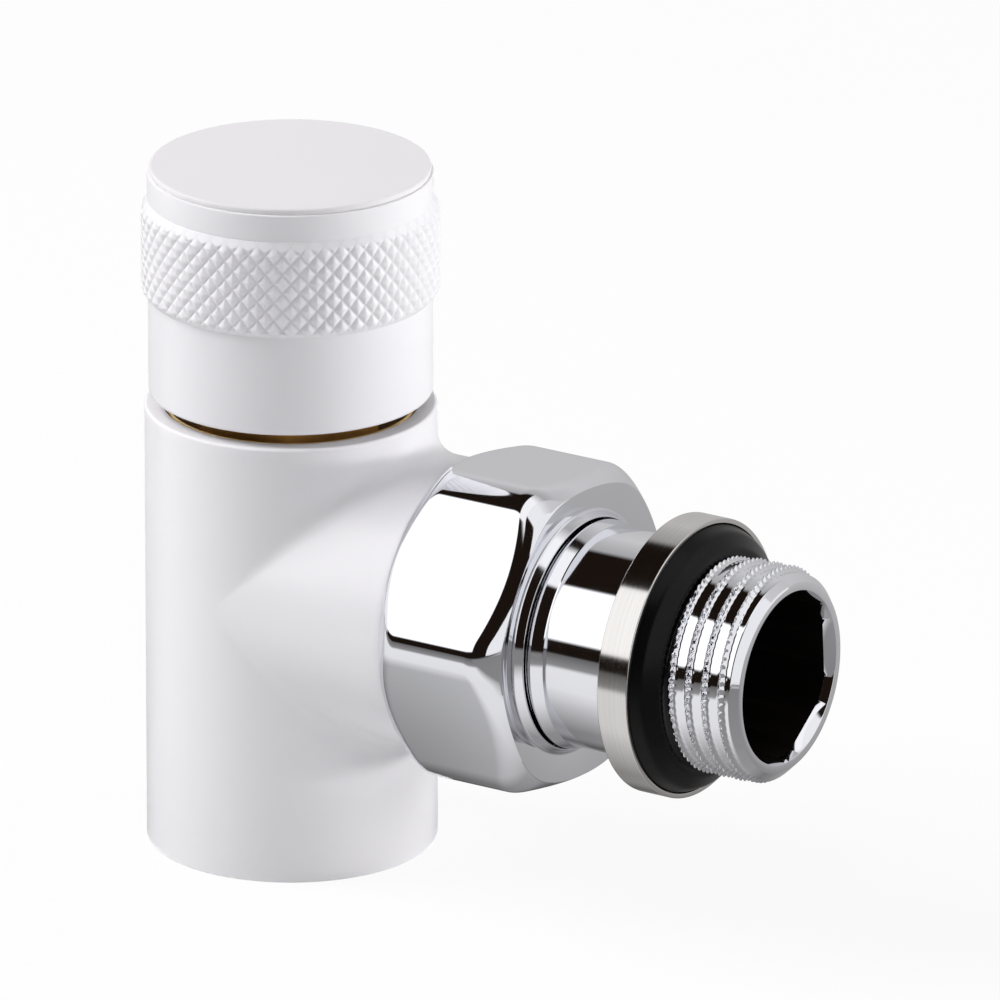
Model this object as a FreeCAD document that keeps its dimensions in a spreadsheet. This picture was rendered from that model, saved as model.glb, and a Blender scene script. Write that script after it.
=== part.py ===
import FreeCAD, Part
import math
import os
import Sketcher

# Manual radiator valve, angle pattern, with a union tailpiece.
# Frame: +Z runs up the spindle, +X runs out of the outlet towards the radiator,
# and the origin is the centre of the body's bottom face. Millimetres and degrees.

SIZES = (
    # Body: an upright cylinder with an outlet boss of the same diameter.
    ("body_radius", 14.0),
    ("body_height", 44.0),
    ("foot_edge", 0.3),
    ("rim_edge", 0.5),
    ("outlet_drop", 17.0),
    ("boss_radius", 14.0),
    ("boss_reach", 19.2),
    ("spigot_step", 2.72),
    ("spigot_length", 9.6),
    # Waterway: threaded inlet, seat, chamber, bonnet bore and outlet bore.
    ("inlet_radius", 9.32),
    ("inlet_depth", 12.0),
    ("inlet_mouth", 1.2),
    ("passage_radius", 6.0),
    ("seat_drop", 8.0),
    ("seat_land", 1.0),
    ("seat_rise", 1.2),
    ("chamber_radius", 10.0),
    ("bonnet_room", 0.2),
    ("bonnet_bore_radius", 11.0),
    ("rim_bore_radius", 12.3),
    ("rim_bore_depth", 2.8),
    ("outlet_bore_radius", 6.8),
    ("socket_depth", 6.8),
    ("socket_radius", 9.4),
    ("socket_mouth", 1.2),
    # Bonnet: screwed insert that carries the spindle.
    ("thread_gap", 0.05),
    ("seal_thickness", 0.6),
    ("bonnet_drop", 7.6),
    ("bonnet_edge", 0.4),
    ("rim_gap", 0.1),
    ("bonnet_sink", 0.1),
    ("bonnet_flats", 17.0),
    ("bonnet_flats_height", 4.0),
    ("neck_radius", 7.5),
    ("neck_height", 8.7),
    ("guide_flats", 13.0),
    ("guide_gap", 0.1),
    ("guide_depth", 6.7),
    ("thrust_bore_radius", 5.6),
    # Spindle.
    ("journal_radius", 4.0),
    ("running_gap", 0.05),
    ("spindle_collar_radius", 5.2),
    ("spindle_collar_height", 1.55),
    ("spindle_thread_radius", 3.5),
    ("spindle_thread_length", 11.4),
    ("thrust_washer_height", 0.5),
    ("ring_groove_radius", 2.9),
    ("ring_groove_width", 1.5),
    ("ring_gap", 0.02),
    ("lower_ring_rise", 1.5),
    ("ring_spacing", 3.4),
    ("clip_groove_radius", 3.3),
    ("clip_thickness", 0.6),
    ("clip_radius", 5.5),
    ("clip_opening", 3.0),
    ("clip_rise", 0.3),
    ("shoulder_rise", 1.6),
    ("square_width", 5.6),
    ("square_corner_radius", 3.9),
    ("square_length", 5.8),
    ("tap_radius", 1.55),
    ("tap_depth", 8.5),
    # Shutter with its rubber washer and screw.
    ("seat_gap", 0.05),
    ("seat_washer_radius", 7.9),
    ("seat_washer_height", 2.0),
    ("shutter_radius", 8.2),
    ("shutter_plate", 2.1),
    ("shutter_height", 15.1),
    ("shutter_floor", 4.4),
    ("washer_screw_length", 5.0),
    ("washer_screw_tap", 3.6),
    ("screw_radius", 1.5),
    ("screw_head_radius", 3.1),
    ("screw_head_height", 1.6),
    ("screw_slot", 0.9),
    # Handwheel: skirt, knurled band, neck and cap.
    ("knob_gap", 1.2),
    ("skirt_radius", 13.6),
    ("skirt_round", 0.8),
    ("skirt_bore_radius", 12.0),
    ("skirt_height", 9.85),
    ("knurl_radius", 14.25),
    ("knurl_relief", 0.3),
    ("knurl_count", 54),
    ("knurl_rows", 8),
    ("knurl_row_height", 0.93),
    ("knurl_foot", 0.65),
    ("knurl_scallop", 0.25),
    ("knurl_scallop_wave", 0.06),
    ("knurl_tip", 0.78),
    ("knurl_notch", 0.38),
    ("knurl_crown", 1.3),
    ("knurl_step", 0.02),
    ("knurl_anchor", 0.35),
    ("neck_ring_radius", 13.65),
    ("knob_height", 22.1),
    ("web_height", 10.8),
    ("web_thickness", 3.5),
    ("hub_radius", 7.0),
    ("hub_rise", 0.9),
    ("recess_radius", 11.8),
    ("bush_radius", 5.0),
    ("press_gap", 0.03),
    ("square_gap", 0.05),
    ("knob_washer_radius", 4.6),
    ("knob_washer_height", 0.6),
    ("knob_screw_length", 9.0),
    ("cap_radius", 13.42),
    ("cap_thickness", 0.6),
    ("cap_edge", 0.25),
    ("cap_clip_gap", 0.1),
    ("cap_clip_wall", 1.0),
    ("cap_clip_depth", 3.3),
    ("cap_clip_slot", 2.0),
    # Union nut.
    ("nut_flats", 30.0),
    ("nut_start_gap", 0.25),
    ("nut_length", 14.0),
    ("nut_corner_round", 2.0),
    ("nut_face_inset", 0.1),
    ("nut_rear_bevel", 2.4),
    ("nut_front_bevel", 1.75),
    ("nut_front_bevel_depth", 2.2),
    ("nut_front_set_back", 0.25),
    ("nut_dish_depth", 0.85),
    ("nut_bore_gap", 0.06),
    ("nut_hole_gap", 0.2),
    ("nut_lip_land", 0.15),
    ("nut_lip_width", 0.6),
    ("nut_turn", 24.0),
    # Tailpiece with its seal ring.
    ("nose_gap", 0.05),
    ("nose_start_gap", 0.8),
    ("flange_inset", 0.5),
    ("flange_height", 2.0),
    ("waist_rise", 0.3),
    ("waist_length", 3.3),
    ("flare_length", 1.9),
    ("tail_neck_rise", 0.22),
    ("tail_neck_length", 12.2),
    ("collar_seat_length", 3.4),
    ("thread_relief", 0.6),
    ("thread_relief_depth", 1.2),
    ("tail_thread_radius", 10.48),
    ("thread_reach", 13.0),
    ("tail_bevel", 1.28),
    ("mouth_wall", 1.98),
    ("mouth_bevel", 0.6),
    ("key_wall", 2.98),
    ("key_depth", 10.0),
    ("key_turn", 5.0),
    ("tail_bore_radius", 7.4),
    ("tail_groove_depth", 4.2),
    ("tail_groove_width", 1.6),
    ("tail_groove_radius", 8.15),
    # Sealing collar with its gasket ring.
    ("seal_collar_width", 3.02),
    ("seal_collar_length", 3.3),
    ("seal_collar_edge", 0.2),
    ("collar_fit_gap", 0.05),
    ("collar_web", 1.15),
    ("gasket_room", 2.52),
)

doc = FreeCAD.newDocument("radiator_valve")
sheet = doc.addObject("Spreadsheet::Sheet", "Sizes")
for row, (alias, number) in enumerate(SIZES, start=1):
    sheet.set(f"A{row}", alias)
    sheet.set(f"B{row}", str(number))
    sheet.setAlias(f"B{row}", alias)
doc.recompute()


# Heights and reaches that several pieces share, as sums of sheet names.
OUTLET_HEIGHT = "body_height - outlet_drop"
SEAT_HEIGHT = OUTLET_HEIGHT + " - seat_drop"
RIM_FLOOR = "body_height - rim_bore_depth"
FLANGE_FLOOR = RIM_FLOOR + " + seal_thickness"
FLANGE_TOP = "body_height - bonnet_sink"
BONNET_FOOT = FLANGE_FLOOR + " - bonnet_drop"
NECK_TOP = FLANGE_TOP + " + neck_height"
WASHER_UNDERSIDE = "body_height - thrust_washer_height"
SPINDLE_COLLAR_TOP = WASHER_UNDERSIDE + " - running_gap"
SPINDLE_COLLAR_FOOT = SPINDLE_COLLAR_TOP + " - spindle_collar_height"
SPINDLE_FOOT = SPINDLE_COLLAR_FOOT + " - spindle_thread_length"
LOWER_GROOVE = "body_height + lower_ring_rise"
UPPER_GROOVE = LOWER_GROOVE + " + ring_spacing"
CLIP_FOOT = NECK_TOP + " + clip_rise"
CLIP_TOP = CLIP_FOOT + " + clip_thickness"
SQUARE_FOOT = NECK_TOP + " + shoulder_rise"
SQUARE_TOP = SQUARE_FOOT + " + square_length"
CHAMBER_FLOOR = SEAT_HEIGHT + " - seat_rise"
CHAMBER_TOP = BONNET_FOOT + " - bonnet_room"
SEAT_WASHER_FOOT = SEAT_HEIGHT + " + seat_gap"
SHUTTER_FOOT = SEAT_WASHER_FOOT + " + seat_washer_height"
KNOB_FOOT = "body_height + knob_gap"
KNOB_TOP = KNOB_FOOT + " + knob_height"
KNURL_FOOT = KNOB_FOOT + " + skirt_height"
WEB_FOOT = KNOB_FOOT + " + web_height"
WEB_TOP = WEB_FOOT + " + web_thickness"
HUB_TOP = WEB_TOP + " + hub_rise"
SPIGOT_END = "boss_reach + spigot_length"
NUT_START = "boss_reach + nut_start_gap"
NUT_END = NUT_START + " + nut_length"
SOCKET_START = SPIGOT_END + " - socket_depth"
TAIL_GROOVE = SPIGOT_END + " - tail_groove_depth"
FLANGE_END = SPIGOT_END + " + flange_height"
WAIST_END = FLANGE_END + " + waist_length"
SHOULDER = FLANGE_END + " + tail_neck_length"
COLLAR_FLOOR = SHOULDER + " + collar_web"
COLLAR_FRONT = SHOULDER + " + seal_collar_length"
RELIEF_START = SHOULDER + " + collar_seat_length"
THREAD_START = RELIEF_START + " + thread_relief"
TAIL_END = SHOULDER + " + thread_reach"

# Radii round the outlet axis that follow the pipe thread's size.
SPIGOT_RADIUS = "tail_thread_radius + spigot_step"
FLANGE_RADIUS = SPIGOT_RADIUS + " - flange_inset"
TAIL_NECK_RADIUS = "tail_thread_radius + tail_neck_rise"
WAIST_RADIUS = TAIL_NECK_RADIUS + " + waist_rise"
NUT_HOLE_RADIUS = WAIST_RADIUS + " + nut_hole_gap"
MOUTH_RADIUS = "tail_thread_radius - mouth_wall"
SEAL_COLLAR_RADIUS = "tail_thread_radius + seal_collar_width"
RECESS_RADIUS = "tail_thread_radius + gasket_room"


def size(word):
    """The number behind one sheet name, or behind a name divided by a number."""
    name, slash, divisor = word.partition("/")
    number = float(name) if name[0].isdigit() else float(getattr(sheet, name))
    return number / float(divisor) if slash else number


def amount(terms):
    """The number that a sum of sheet names stands for."""
    total = 0.0
    sign = 1
    for word in terms.split():
        if word in ("+", "-"):
            sign = 1 if word == "+" else -1
        else:
            total += sign * size(word)
    return total


def minus(terms):
    """The same sum with every sign turned round, to be written after another sum."""
    turned_words = {"+": "-", "-": "+"}
    return " - " + " ".join(turned_words.get(word, word) for word in terms.split())


def formula(terms):
    """The same sum, as an expression on the sheet."""
    words = ["Sizes." + word if word[0].isalpha() else word for word in terms.split()]
    return " ".join(words)


def bind(thing, prop, terms):
    thing.setExpression(prop, formula(terms))


def origin_part(body, role):
    """One of the planes or axes that a body brings with it."""
    for feature in body.Origin.OriginFeatures:
        if feature.Role == role:
            return feature
    raise ValueError(role)


def new_body(label):
    body = doc.addObject("PartDesign::Body", label)
    body.Label = label
    return body


def along_outlet(piece, turn="0"):
    """Turn a piece from its own +Z to the outlet axis, and by its own angle round it."""
    lie_down = FreeCAD.Rotation(FreeCAD.Vector(0, 1, 0), 90)
    spin = FreeCAD.Rotation(FreeCAD.Vector(0, 0, 1), amount(turn))
    piece.Placement = FreeCAD.Placement(FreeCAD.Vector(0, 0, 0), lie_down.multiply(spin))
    bind(piece, "Placement.Base.z", OUTLET_HEIGHT)


def sketch_on(body, label, plane, height="0"):
    sketch = body.newObject("Sketcher::SketchObject", label)
    sketch.AttachmentSupport = (origin_part(body, plane), "")
    sketch.MapMode = "FlatFace"
    if height != "0":
        bind(sketch, "AttachmentOffset.Base.z", height)
    return sketch


def place_point(sketch, line, direction, terms):
    """Hold the start of a line at a distance from the sketch's origin."""
    if terms == "0":
        axis = -2 if direction == "DistanceX" else -1
        sketch.addConstraint(Sketcher.Constraint("PointOnObject", line, 1, axis))
        return
    rule = Sketcher.Constraint(direction, -1, 1, line, 1, amount(terms))
    number = sketch.addConstraint(rule)
    bind(sketch, f"Constraints[{number}]", terms)


def outline(sketch, points):
    """A closed outline through points whose two distances are sums of sheet names."""
    corners = [FreeCAD.Vector(amount(across), amount(up), 0) for across, up in points]
    first = sketch.GeometryCount
    for start, end in zip(corners, corners[1:] + corners[:1]):
        sketch.addGeometry(Part.LineSegment(start, end), False)
    last = len(points) - 1
    for step in range(len(points)):
        following = first if step == last else first + step + 1
        sketch.addConstraint(Sketcher.Constraint("Coincident", first + step, 2, following, 1))
    for step, (across, up) in enumerate(points):
        place_point(sketch, first + step, "DistanceX", across)
        place_point(sketch, first + step, "DistanceY", up)


def circle(sketch, radius):
    """A circle about the sketch's origin."""
    ring = Part.Circle(FreeCAD.Vector(0, 0, 0), FreeCAD.Vector(0, 0, 1), amount(radius))
    number = sketch.addGeometry(ring, False)
    sketch.addConstraint(Sketcher.Constraint("Coincident", number, 3, -1, 1))
    rule = sketch.addConstraint(Sketcher.Constraint("Radius", number, amount(radius)))
    bind(sketch, f"Constraints[{rule}]", radius)


def rectangle(sketch, half_width, half_depth):
    """A rectangle centred on the sketch's origin, from its two half sizes."""
    wide = amount(half_width)
    deep = amount(half_depth)
    first = sketch.GeometryCount
    signs = ((-1, -1), (1, -1), (1, 1), (-1, 1))
    corners = [FreeCAD.Vector(wide * across, deep * up, 0) for across, up in signs]
    for start, end in zip(corners, corners[1:] + corners[:1]):
        sketch.addGeometry(Part.LineSegment(start, end), False)
    for step in range(4):
        following = first + (step + 1) % 4
        sketch.addConstraint(Sketcher.Constraint("Coincident", first + step, 2, following, 1))
    for step in (0, 2):
        sketch.addConstraint(Sketcher.Constraint("Horizontal", first + step))
        sketch.addConstraint(Sketcher.Constraint("Vertical", first + step + 1))
    sketch.addConstraint(Sketcher.Constraint("Symmetric", first, 1, first + 2, 1, -1, 1))
    place_point(sketch, first + 2, "DistanceX", half_width)
    place_point(sketch, first + 2, "DistanceY", half_depth)


def revolve(body, kind, label, points):
    """A turned shape, or a bored one, about the body's own Z."""
    sketch = sketch_on(body, label + "_outline", "XZ_Plane")
    outline(sketch, points)
    feature = body.newObject("PartDesign::" + kind, label)
    feature.Profile = sketch
    feature.ReferenceAxis = (sketch, ["V_Axis"])
    feature.Angle = 360
    sketch.Visibility = False
    doc.recompute()
    return feature


def turned(label, points):
    body = new_body(label)
    revolve(body, "Revolution", label + "_turning", points)
    return body


def extrude(body, kind, label, sketch, length, backwards=False):
    """A pad or a pocket of a sketch, upwards unless it is told to go backwards."""
    feature = body.newObject("PartDesign::" + kind, label)
    feature.Profile = sketch
    bind(feature, "Length", length)
    feature.Reversed = backwards
    doc.recompute()
    return feature


def pocket_up(body, label, sketch, length):
    """A pocket that is cut upwards from its sketch."""
    return extrude(body, "Pocket", label, sketch, length, backwards=True)


def hexagon(body, kind, label, flats, foot, height):
    """A hexagonal prism or socket on the body's own Z, given across its flats."""
    prism = body.newObject("PartDesign::" + kind, label)
    prism.AttachmentSupport = (origin_part(body, "XY_Plane"), "")
    prism.MapMode = "FlatFace"
    prism.Polygon = 6
    flat_terms = formula(flats)
    prism.setExpression("Circumradius", f"({flat_terms}) / sqrt(3)")
    bind(prism, "Height", height)
    bind(prism, "AttachmentOffset.Base.z", foot)
    doc.recompute()
    return prism


def ring_edges(shape, radius, height):
    """Names of the round edges of one radius that lie at one height on the piece's own Z."""
    found = []
    for number, edge in enumerate(shape.Edges, start=1):
        curve = edge.Curve
        if not isinstance(curve, Part.Circle):
            continue
        same_radius = abs(curve.Radius - amount(radius)) < 1e-4
        if same_radius and abs(curve.Center.z - amount(height)) < 1e-4:
            found.append(f"Edge{number}")
    return found


def dress(body, kind, label, base, edges, terms):
    """A fillet or a chamfer on named edges of the last feature."""
    feature = body.newObject("PartDesign::" + kind, label)
    feature.Base = (base, edges)
    bind(feature, "Radius" if kind == "Fillet" else "Size", terms)
    doc.recompute()
    return feature


def washer(label, inner, outer, foot, top):
    return turned(label, ((inner, foot), (outer, foot), (outer, top), (inner, top)))


def seal_ring(label, inner, outer, foot, along_pipe=False):
    """A round rubber ring that fills the room between two radii and rests on a foot."""
    ring = doc.addObject("Part::Torus", label)
    ring.Label = label
    room = f"({formula(outer)}) - ({formula(inner)})"
    ring.setExpression("Radius1", f"(({formula(inner)}) + ({formula(outer)})) / 2")
    ring.setExpression("Radius2", f"({room}) / 2 - Sizes.ring_gap")
    place = f"({formula(foot)}) + ({room}) / 2 - Sizes.ring_gap"
    if along_pipe:
        along_outlet(ring)
    ring.setExpression("Placement.Base.x" if along_pipe else "Placement.Base.z", place)
    return ring


def make_body():
    """Tower, outlet boss and spigot in one piece, bored from the bottom, the top and the outlet."""
    body = new_body("body")
    revolve(body, "Revolution", "tower", (
        ("0", "0"),
        ("body_radius - foot_edge", "0"),
        ("body_radius", "foot_edge"),
        ("body_radius", "body_height - rim_edge"),
        ("body_radius - rim_edge", "body_height"),
        ("0", "body_height"),
    ))
    add_round_bar(body, "boss", "boss_radius", "boss_reach")
    add_round_bar(body, "spigot", SPIGOT_RADIUS, SPIGOT_END)
    revolve(body, "Groove", "waterway", (
        ("0", "0"),
        ("inlet_radius + inlet_mouth", "0"),
        ("inlet_radius", "inlet_mouth"),
        ("inlet_radius", "inlet_depth"),
        ("passage_radius", "inlet_depth"),
        ("passage_radius", SEAT_HEIGHT),
        ("passage_radius + seat_land", SEAT_HEIGHT),
        ("passage_radius + seat_land + seat_rise/2", CHAMBER_FLOOR),
        ("chamber_radius", CHAMBER_FLOOR),
        ("chamber_radius", CHAMBER_TOP),
        ("bonnet_bore_radius", CHAMBER_TOP),
        ("bonnet_bore_radius", RIM_FLOOR),
        ("rim_bore_radius", RIM_FLOOR),
        ("rim_bore_radius", "body_height"),
        ("0", "body_height"),
    ))
    bore_outlet(body)
    return body


def add_round_bar(body, label, radius, reach):
    """A round bar from the tower's axis out along the outlet."""
    sketch = sketch_on(body, label + "_outline", "YZ_Plane")
    centre = FreeCAD.Vector(0, amount(OUTLET_HEIGHT), 0)
    number = sketch.addGeometry(Part.Circle(centre, FreeCAD.Vector(0, 0, 1), amount(radius)), False)
    sketch.addConstraint(Sketcher.Constraint("PointOnObject", number, 3, -2))
    rise = Sketcher.Constraint("DistanceY", -1, 1, number, 3, amount(OUTLET_HEIGHT))
    bind(sketch, f"Constraints[{sketch.addConstraint(rise)}]", OUTLET_HEIGHT)
    across = Sketcher.Constraint("Radius", number, amount(radius))
    bind(sketch, f"Constraints[{sketch.addConstraint(across)}]", radius)
    extrude(body, "Pad", label, sketch, reach)


def bore_outlet(body):
    """The outlet bore with its tapered socket, turned about the outlet axis."""
    sketch = sketch_on(body, "outlet_outline", "XZ_Plane")
    outline(sketch, (
        ("0", OUTLET_HEIGHT),
        ("0", OUTLET_HEIGHT + " + outlet_bore_radius"),
        (SOCKET_START, OUTLET_HEIGHT + " + outlet_bore_radius"),
        (SOCKET_START, OUTLET_HEIGHT + " + socket_radius"),
        (SPIGOT_END + " - socket_mouth", OUTLET_HEIGHT + " + socket_radius"),
        (SPIGOT_END, OUTLET_HEIGHT + " + socket_radius + socket_mouth"),
        (SPIGOT_END, OUTLET_HEIGHT),
    ))
    start = FreeCAD.Vector(0, amount(OUTLET_HEIGHT), 0)
    end = FreeCAD.Vector(amount(SPIGOT_END), amount(OUTLET_HEIGHT), 0)
    axis = sketch.addGeometry(Part.LineSegment(start, end), True)
    sketch.addConstraint(Sketcher.Constraint("Coincident", axis, 1, 0, 1))
    sketch.addConstraint(Sketcher.Constraint("Coincident", axis, 2, 6, 1))
    bore = body.newObject("PartDesign::Groove", "outlet_bore")
    bore.Profile = sketch
    bore.ReferenceAxis = (sketch, ["Axis0"])
    bore.Angle = 360
    doc.recompute()


def make_bonnet():
    """Brass insert: threaded barrel, rim flange, spanner hexagon and spindle neck."""
    bonnet = turned("bonnet", (
        ("0", BONNET_FOOT),
        ("bonnet_bore_radius - thread_gap - bonnet_edge", BONNET_FOOT),
        ("bonnet_bore_radius - thread_gap", BONNET_FOOT + " + bonnet_edge"),
        ("bonnet_bore_radius - thread_gap", FLANGE_FLOOR),
        ("rim_bore_radius - rim_gap", FLANGE_FLOOR),
        ("rim_bore_radius - rim_gap", FLANGE_TOP + " - bonnet_edge"),
        ("rim_bore_radius - rim_gap - bonnet_edge", FLANGE_TOP),
        ("neck_radius", FLANGE_TOP),
        ("neck_radius", NECK_TOP + " - bonnet_edge"),
        ("neck_radius - bonnet_edge", NECK_TOP),
        ("0", NECK_TOP),
    ))
    hexagon(bonnet, "AdditivePrism", "spanner_flats", "bonnet_flats", FLANGE_TOP, "bonnet_flats_height")
    hexagon(bonnet, "SubtractivePrism", "shutter_guide", "guide_flats + guide_gap + guide_gap",
            BONNET_FOOT, "guide_depth")
    revolve(bonnet, "Groove", "spindle_bore", (
        ("0", BONNET_FOOT),
        ("thrust_bore_radius", BONNET_FOOT),
        ("thrust_bore_radius", "body_height"),
        ("journal_radius + running_gap", "body_height"),
        ("journal_radius + running_gap", NECK_TOP),
        ("0", NECK_TOP),
    ))
    return bonnet


def ring_groove(foot):
    """Four points of a seal ring's groove in the spindle, from its foot upwards."""
    return (
        ("journal_radius", foot),
        ("ring_groove_radius", foot),
        ("ring_groove_radius", foot + " + ring_groove_width"),
        ("journal_radius", foot + " + ring_groove_width"),
    )


def make_stem():
    """Spindle: left-hand thread, thrust collar, journal with two ring grooves, and a square."""
    stem = turned("stem", (
        ("0", SPINDLE_FOOT),
        ("spindle_thread_radius - thread_gap", SPINDLE_FOOT),
        ("spindle_thread_radius - thread_gap", SPINDLE_COLLAR_FOOT),
        ("spindle_collar_radius", SPINDLE_COLLAR_FOOT),
        ("spindle_collar_radius", SPINDLE_COLLAR_TOP),
        ("journal_radius", SPINDLE_COLLAR_TOP),
    ) + ring_groove(LOWER_GROOVE) + ring_groove(UPPER_GROOVE) + (
        ("journal_radius", CLIP_FOOT + " - running_gap"),
        ("clip_groove_radius", CLIP_FOOT + " - running_gap"),
        ("clip_groove_radius", CLIP_TOP),
        ("journal_radius", CLIP_TOP),
        ("journal_radius", SQUARE_FOOT),
        ("square_corner_radius", SQUARE_FOOT),
        ("square_corner_radius", SQUARE_TOP),
        ("0", SQUARE_TOP),
    ))
    flats = sketch_on(stem, "square_outline", "XY_Plane", SQUARE_FOOT)
    circle(flats, "journal_radius + journal_radius")
    rectangle(flats, "square_width/2", "square_width/2")
    pocket_up(stem, "square", flats, "square_length")
    tap = sketch_on(stem, "tap_outline", "XY_Plane", SQUARE_TOP + " - tap_depth")
    circle(tap, "tap_radius")
    pocket_up(stem, "tap", tap, "tap_depth")
    return stem


def make_clip():
    """Open spring clip, held against the top of its groove in the spindle."""
    clip = washer("stem_circlip", "clip_groove_radius + running_gap", "clip_radius", CLIP_FOOT, CLIP_TOP)
    opening = sketch_on(clip, "opening_outline", "XY_Plane", CLIP_FOOT)
    outline(opening, (
        ("0", "0"),
        ("clip_radius + clip_opening", "0"),
        ("clip_radius + clip_opening", "clip_opening"),
        ("0", "clip_opening"),
    ))
    pocket_up(clip, "opening", opening, "clip_thickness")
    return clip


def make_shutter():
    """Round plate with a hexagonal nut body that slides in the bonnet without turning."""
    plate_top = SHUTTER_FOOT + " + shutter_plate"
    shutter = turned("shutter", (
        ("0", SHUTTER_FOOT),
        ("shutter_radius", SHUTTER_FOOT),
        ("shutter_radius", plate_top),
        ("0", plate_top),
    ))
    hexagon(shutter, "AdditivePrism", "slide_flats", "guide_flats", SHUTTER_FOOT, "shutter_height")
    bore = sketch_on(shutter, "nut_bore_outline", "XY_Plane", SHUTTER_FOOT + " + shutter_floor")
    circle(bore, "spindle_thread_radius")
    pocket_up(shutter, "nut_bore", bore, "shutter_height - shutter_floor")
    tap = sketch_on(shutter, "screw_bore_outline", "XY_Plane", SHUTTER_FOOT)
    circle(tap, "tap_radius")
    pocket_up(shutter, "screw_bore", tap, "washer_screw_tap")
    return shutter


def make_screw(label, seat, length, upwards):
    """Slotted cheese-head screw: its head lies above the seat, or below it if it points upwards."""
    head = " - " if upwards else " + "
    shank = " + " if upwards else " - "
    screw = turned(label, (
        ("0", seat + shank + length),
        ("screw_radius", seat + shank + length),
        ("screw_radius", seat),
        ("screw_head_radius", seat),
        ("screw_head_radius", seat + head + "screw_head_height"),
        ("0", seat + head + "screw_head_height"),
    ))
    slot = sketch_on(screw, label + "_slot_outline", "XY_Plane", seat + head + "screw_head_height")
    rectangle(slot, "screw_head_radius + screw_slot", "screw_slot/2")
    extrude(screw, "Pocket", label + "_slot", slot, "screw_head_height/2", backwards=upwards)
    return screw


def knurl_ring(raised, even, odd):
    """Points round the band, by turns at one (radius, height) and at another."""
    count = 2 * int(size("knurl_count"))
    points = []
    for place in range(count):
        radius, height = even if place % 2 == raised else odd
        turn = 2 * math.pi * place / count
        points.append(FreeCAD.Vector(radius * math.cos(turn), radius * math.sin(turn), height))
    return points


def facet(*corners):
    return Part.Face(Part.makePolygon(list(corners) + [corners[0]]))


def band_between(low, high):
    """Two triangles for each gap between two rings of points, split along the raised side."""
    faces = []
    for place in range(len(low)):
        after = (place + 1) % len(low)
        faces.append(facet(low[place], low[after], high[place]))
        faces.append(facet(low[after], high[after], high[place]))
    return faces


def diamond_faces(levels):
    """Four slopes for each raised diamond, and two where the band's edge halves it."""
    faces = []
    around = len(levels[0])
    for level, points in enumerate(levels):
        for place in range(level % 2, around, 2):
            top = points[place]
            left = points[place - 1]
            right = points[(place + 1) % around]
            if level + 1 < len(levels):
                above = levels[level + 1][place]
                faces.append(facet(top, right, above))
                faces.append(facet(top, above, left))
            if level > 0:
                below = levels[level - 1][place]
                faces.append(facet(top, left, below))
                faces.append(facet(top, below, right))
    return faces


def ring_face(outer, inner):
    """A flat ring between two many-sided outlines."""
    wires = [Part.makePolygon(points + points[:1]) for points in (outer, inner)]
    return Part.makeFace(wires, "Part::FaceMakerBullseye")


def make_knurl():
    """The diamond band: raised rows, a scalloped lower edge and a notched upper edge."""
    foot = amount(KNURL_FOOT)
    peak = size("knurl_radius")
    valley = peak - size("knurl_relief")
    wave = size("knurl_scallop_wave")
    scallop = peak - 2 * wave
    row = size("knurl_row_height")
    rows = int(size("knurl_rows"))
    first = foot + size("knurl_foot") + size("knurl_scallop")
    levels = []
    for level in range(rows + 1):
        height = first + level * row
        levels.append(knurl_ring(level % 2, (peak, height), (valley, height)))
    last = first + rows * row
    rim = foot + size("knurl_foot")
    scallops = knurl_ring(0, (scallop, rim), (scallop - 2 * wave, rim))
    tip = (valley + wave, last + size("knurl_tip"))
    notch = (valley + 2 * wave, last + size("knurl_notch"))
    notches = knurl_ring(rows % 2, notch, tip)
    top = last + size("knurl_crown")
    lower = size("skirt_radius") + size("knurl_step")
    upper = size("neck_ring_radius") + size("knurl_step")
    inside = size("skirt_radius") - size("knurl_anchor")
    lower_rim = knurl_ring(0, (lower, foot), (lower, foot))
    upper_rim = knurl_ring(0, (upper, top), (upper, top))
    lower_bore = knurl_ring(0, (inside, foot), (inside, foot))
    upper_bore = knurl_ring(0, (inside, top), (inside, top))
    faces = diamond_faces(levels)
    faces += band_between(lower_rim, scallops)
    faces += band_between(scallops, levels[0])
    faces += band_between(levels[-1], notches)
    faces += band_between(notches, upper_rim)
    faces += band_between(upper_bore, lower_bore)
    faces.append(ring_face(lower_rim, lower_bore))
    faces.append(ring_face(upper_rim, upper_bore))
    skin = Part.makeCompound(faces)
    skin.sewShape()
    band = Part.Solid(skin.Shells[0])
    if band.Volume < 0:
        band.reverse()
    knurl = doc.addObject("Part::Feature", "knurl")
    knurl.Shape = band
    return knurl


def make_handwheel():
    """Knob: plain skirt, knurled band, neck ring, inner web and a hub for the square bush."""
    middle = KNURL_FOOT + " + knurl_foot + knurl_foot"
    core = turned("handwheel_core", (
        ("skirt_bore_radius", KNOB_FOOT),
        ("skirt_radius", KNOB_FOOT),
        ("skirt_radius", middle),
        ("neck_ring_radius", middle),
        ("neck_ring_radius", KNOB_TOP),
        ("recess_radius", KNOB_TOP),
        ("recess_radius", WEB_TOP),
        ("hub_radius", WEB_TOP),
        ("hub_radius", HUB_TOP),
        ("bush_radius", HUB_TOP),
        ("bush_radius", SQUARE_FOOT),
        ("hub_radius", SQUARE_FOOT),
        ("hub_radius", WEB_FOOT),
        ("skirt_bore_radius", WEB_FOOT),
    ))
    turning = core.Tip
    edges = ring_edges(turning.Shape, "skirt_radius", KNOB_FOOT)
    dress(core, "Fillet", "skirt_rounding", turning, edges, "skirt_round")
    handwheel = doc.addObject("Part::Fuse", "handwheel")
    handwheel.Label = "handwheel"
    handwheel.Base = core
    handwheel.Tool = make_knurl()
    return handwheel


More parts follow.
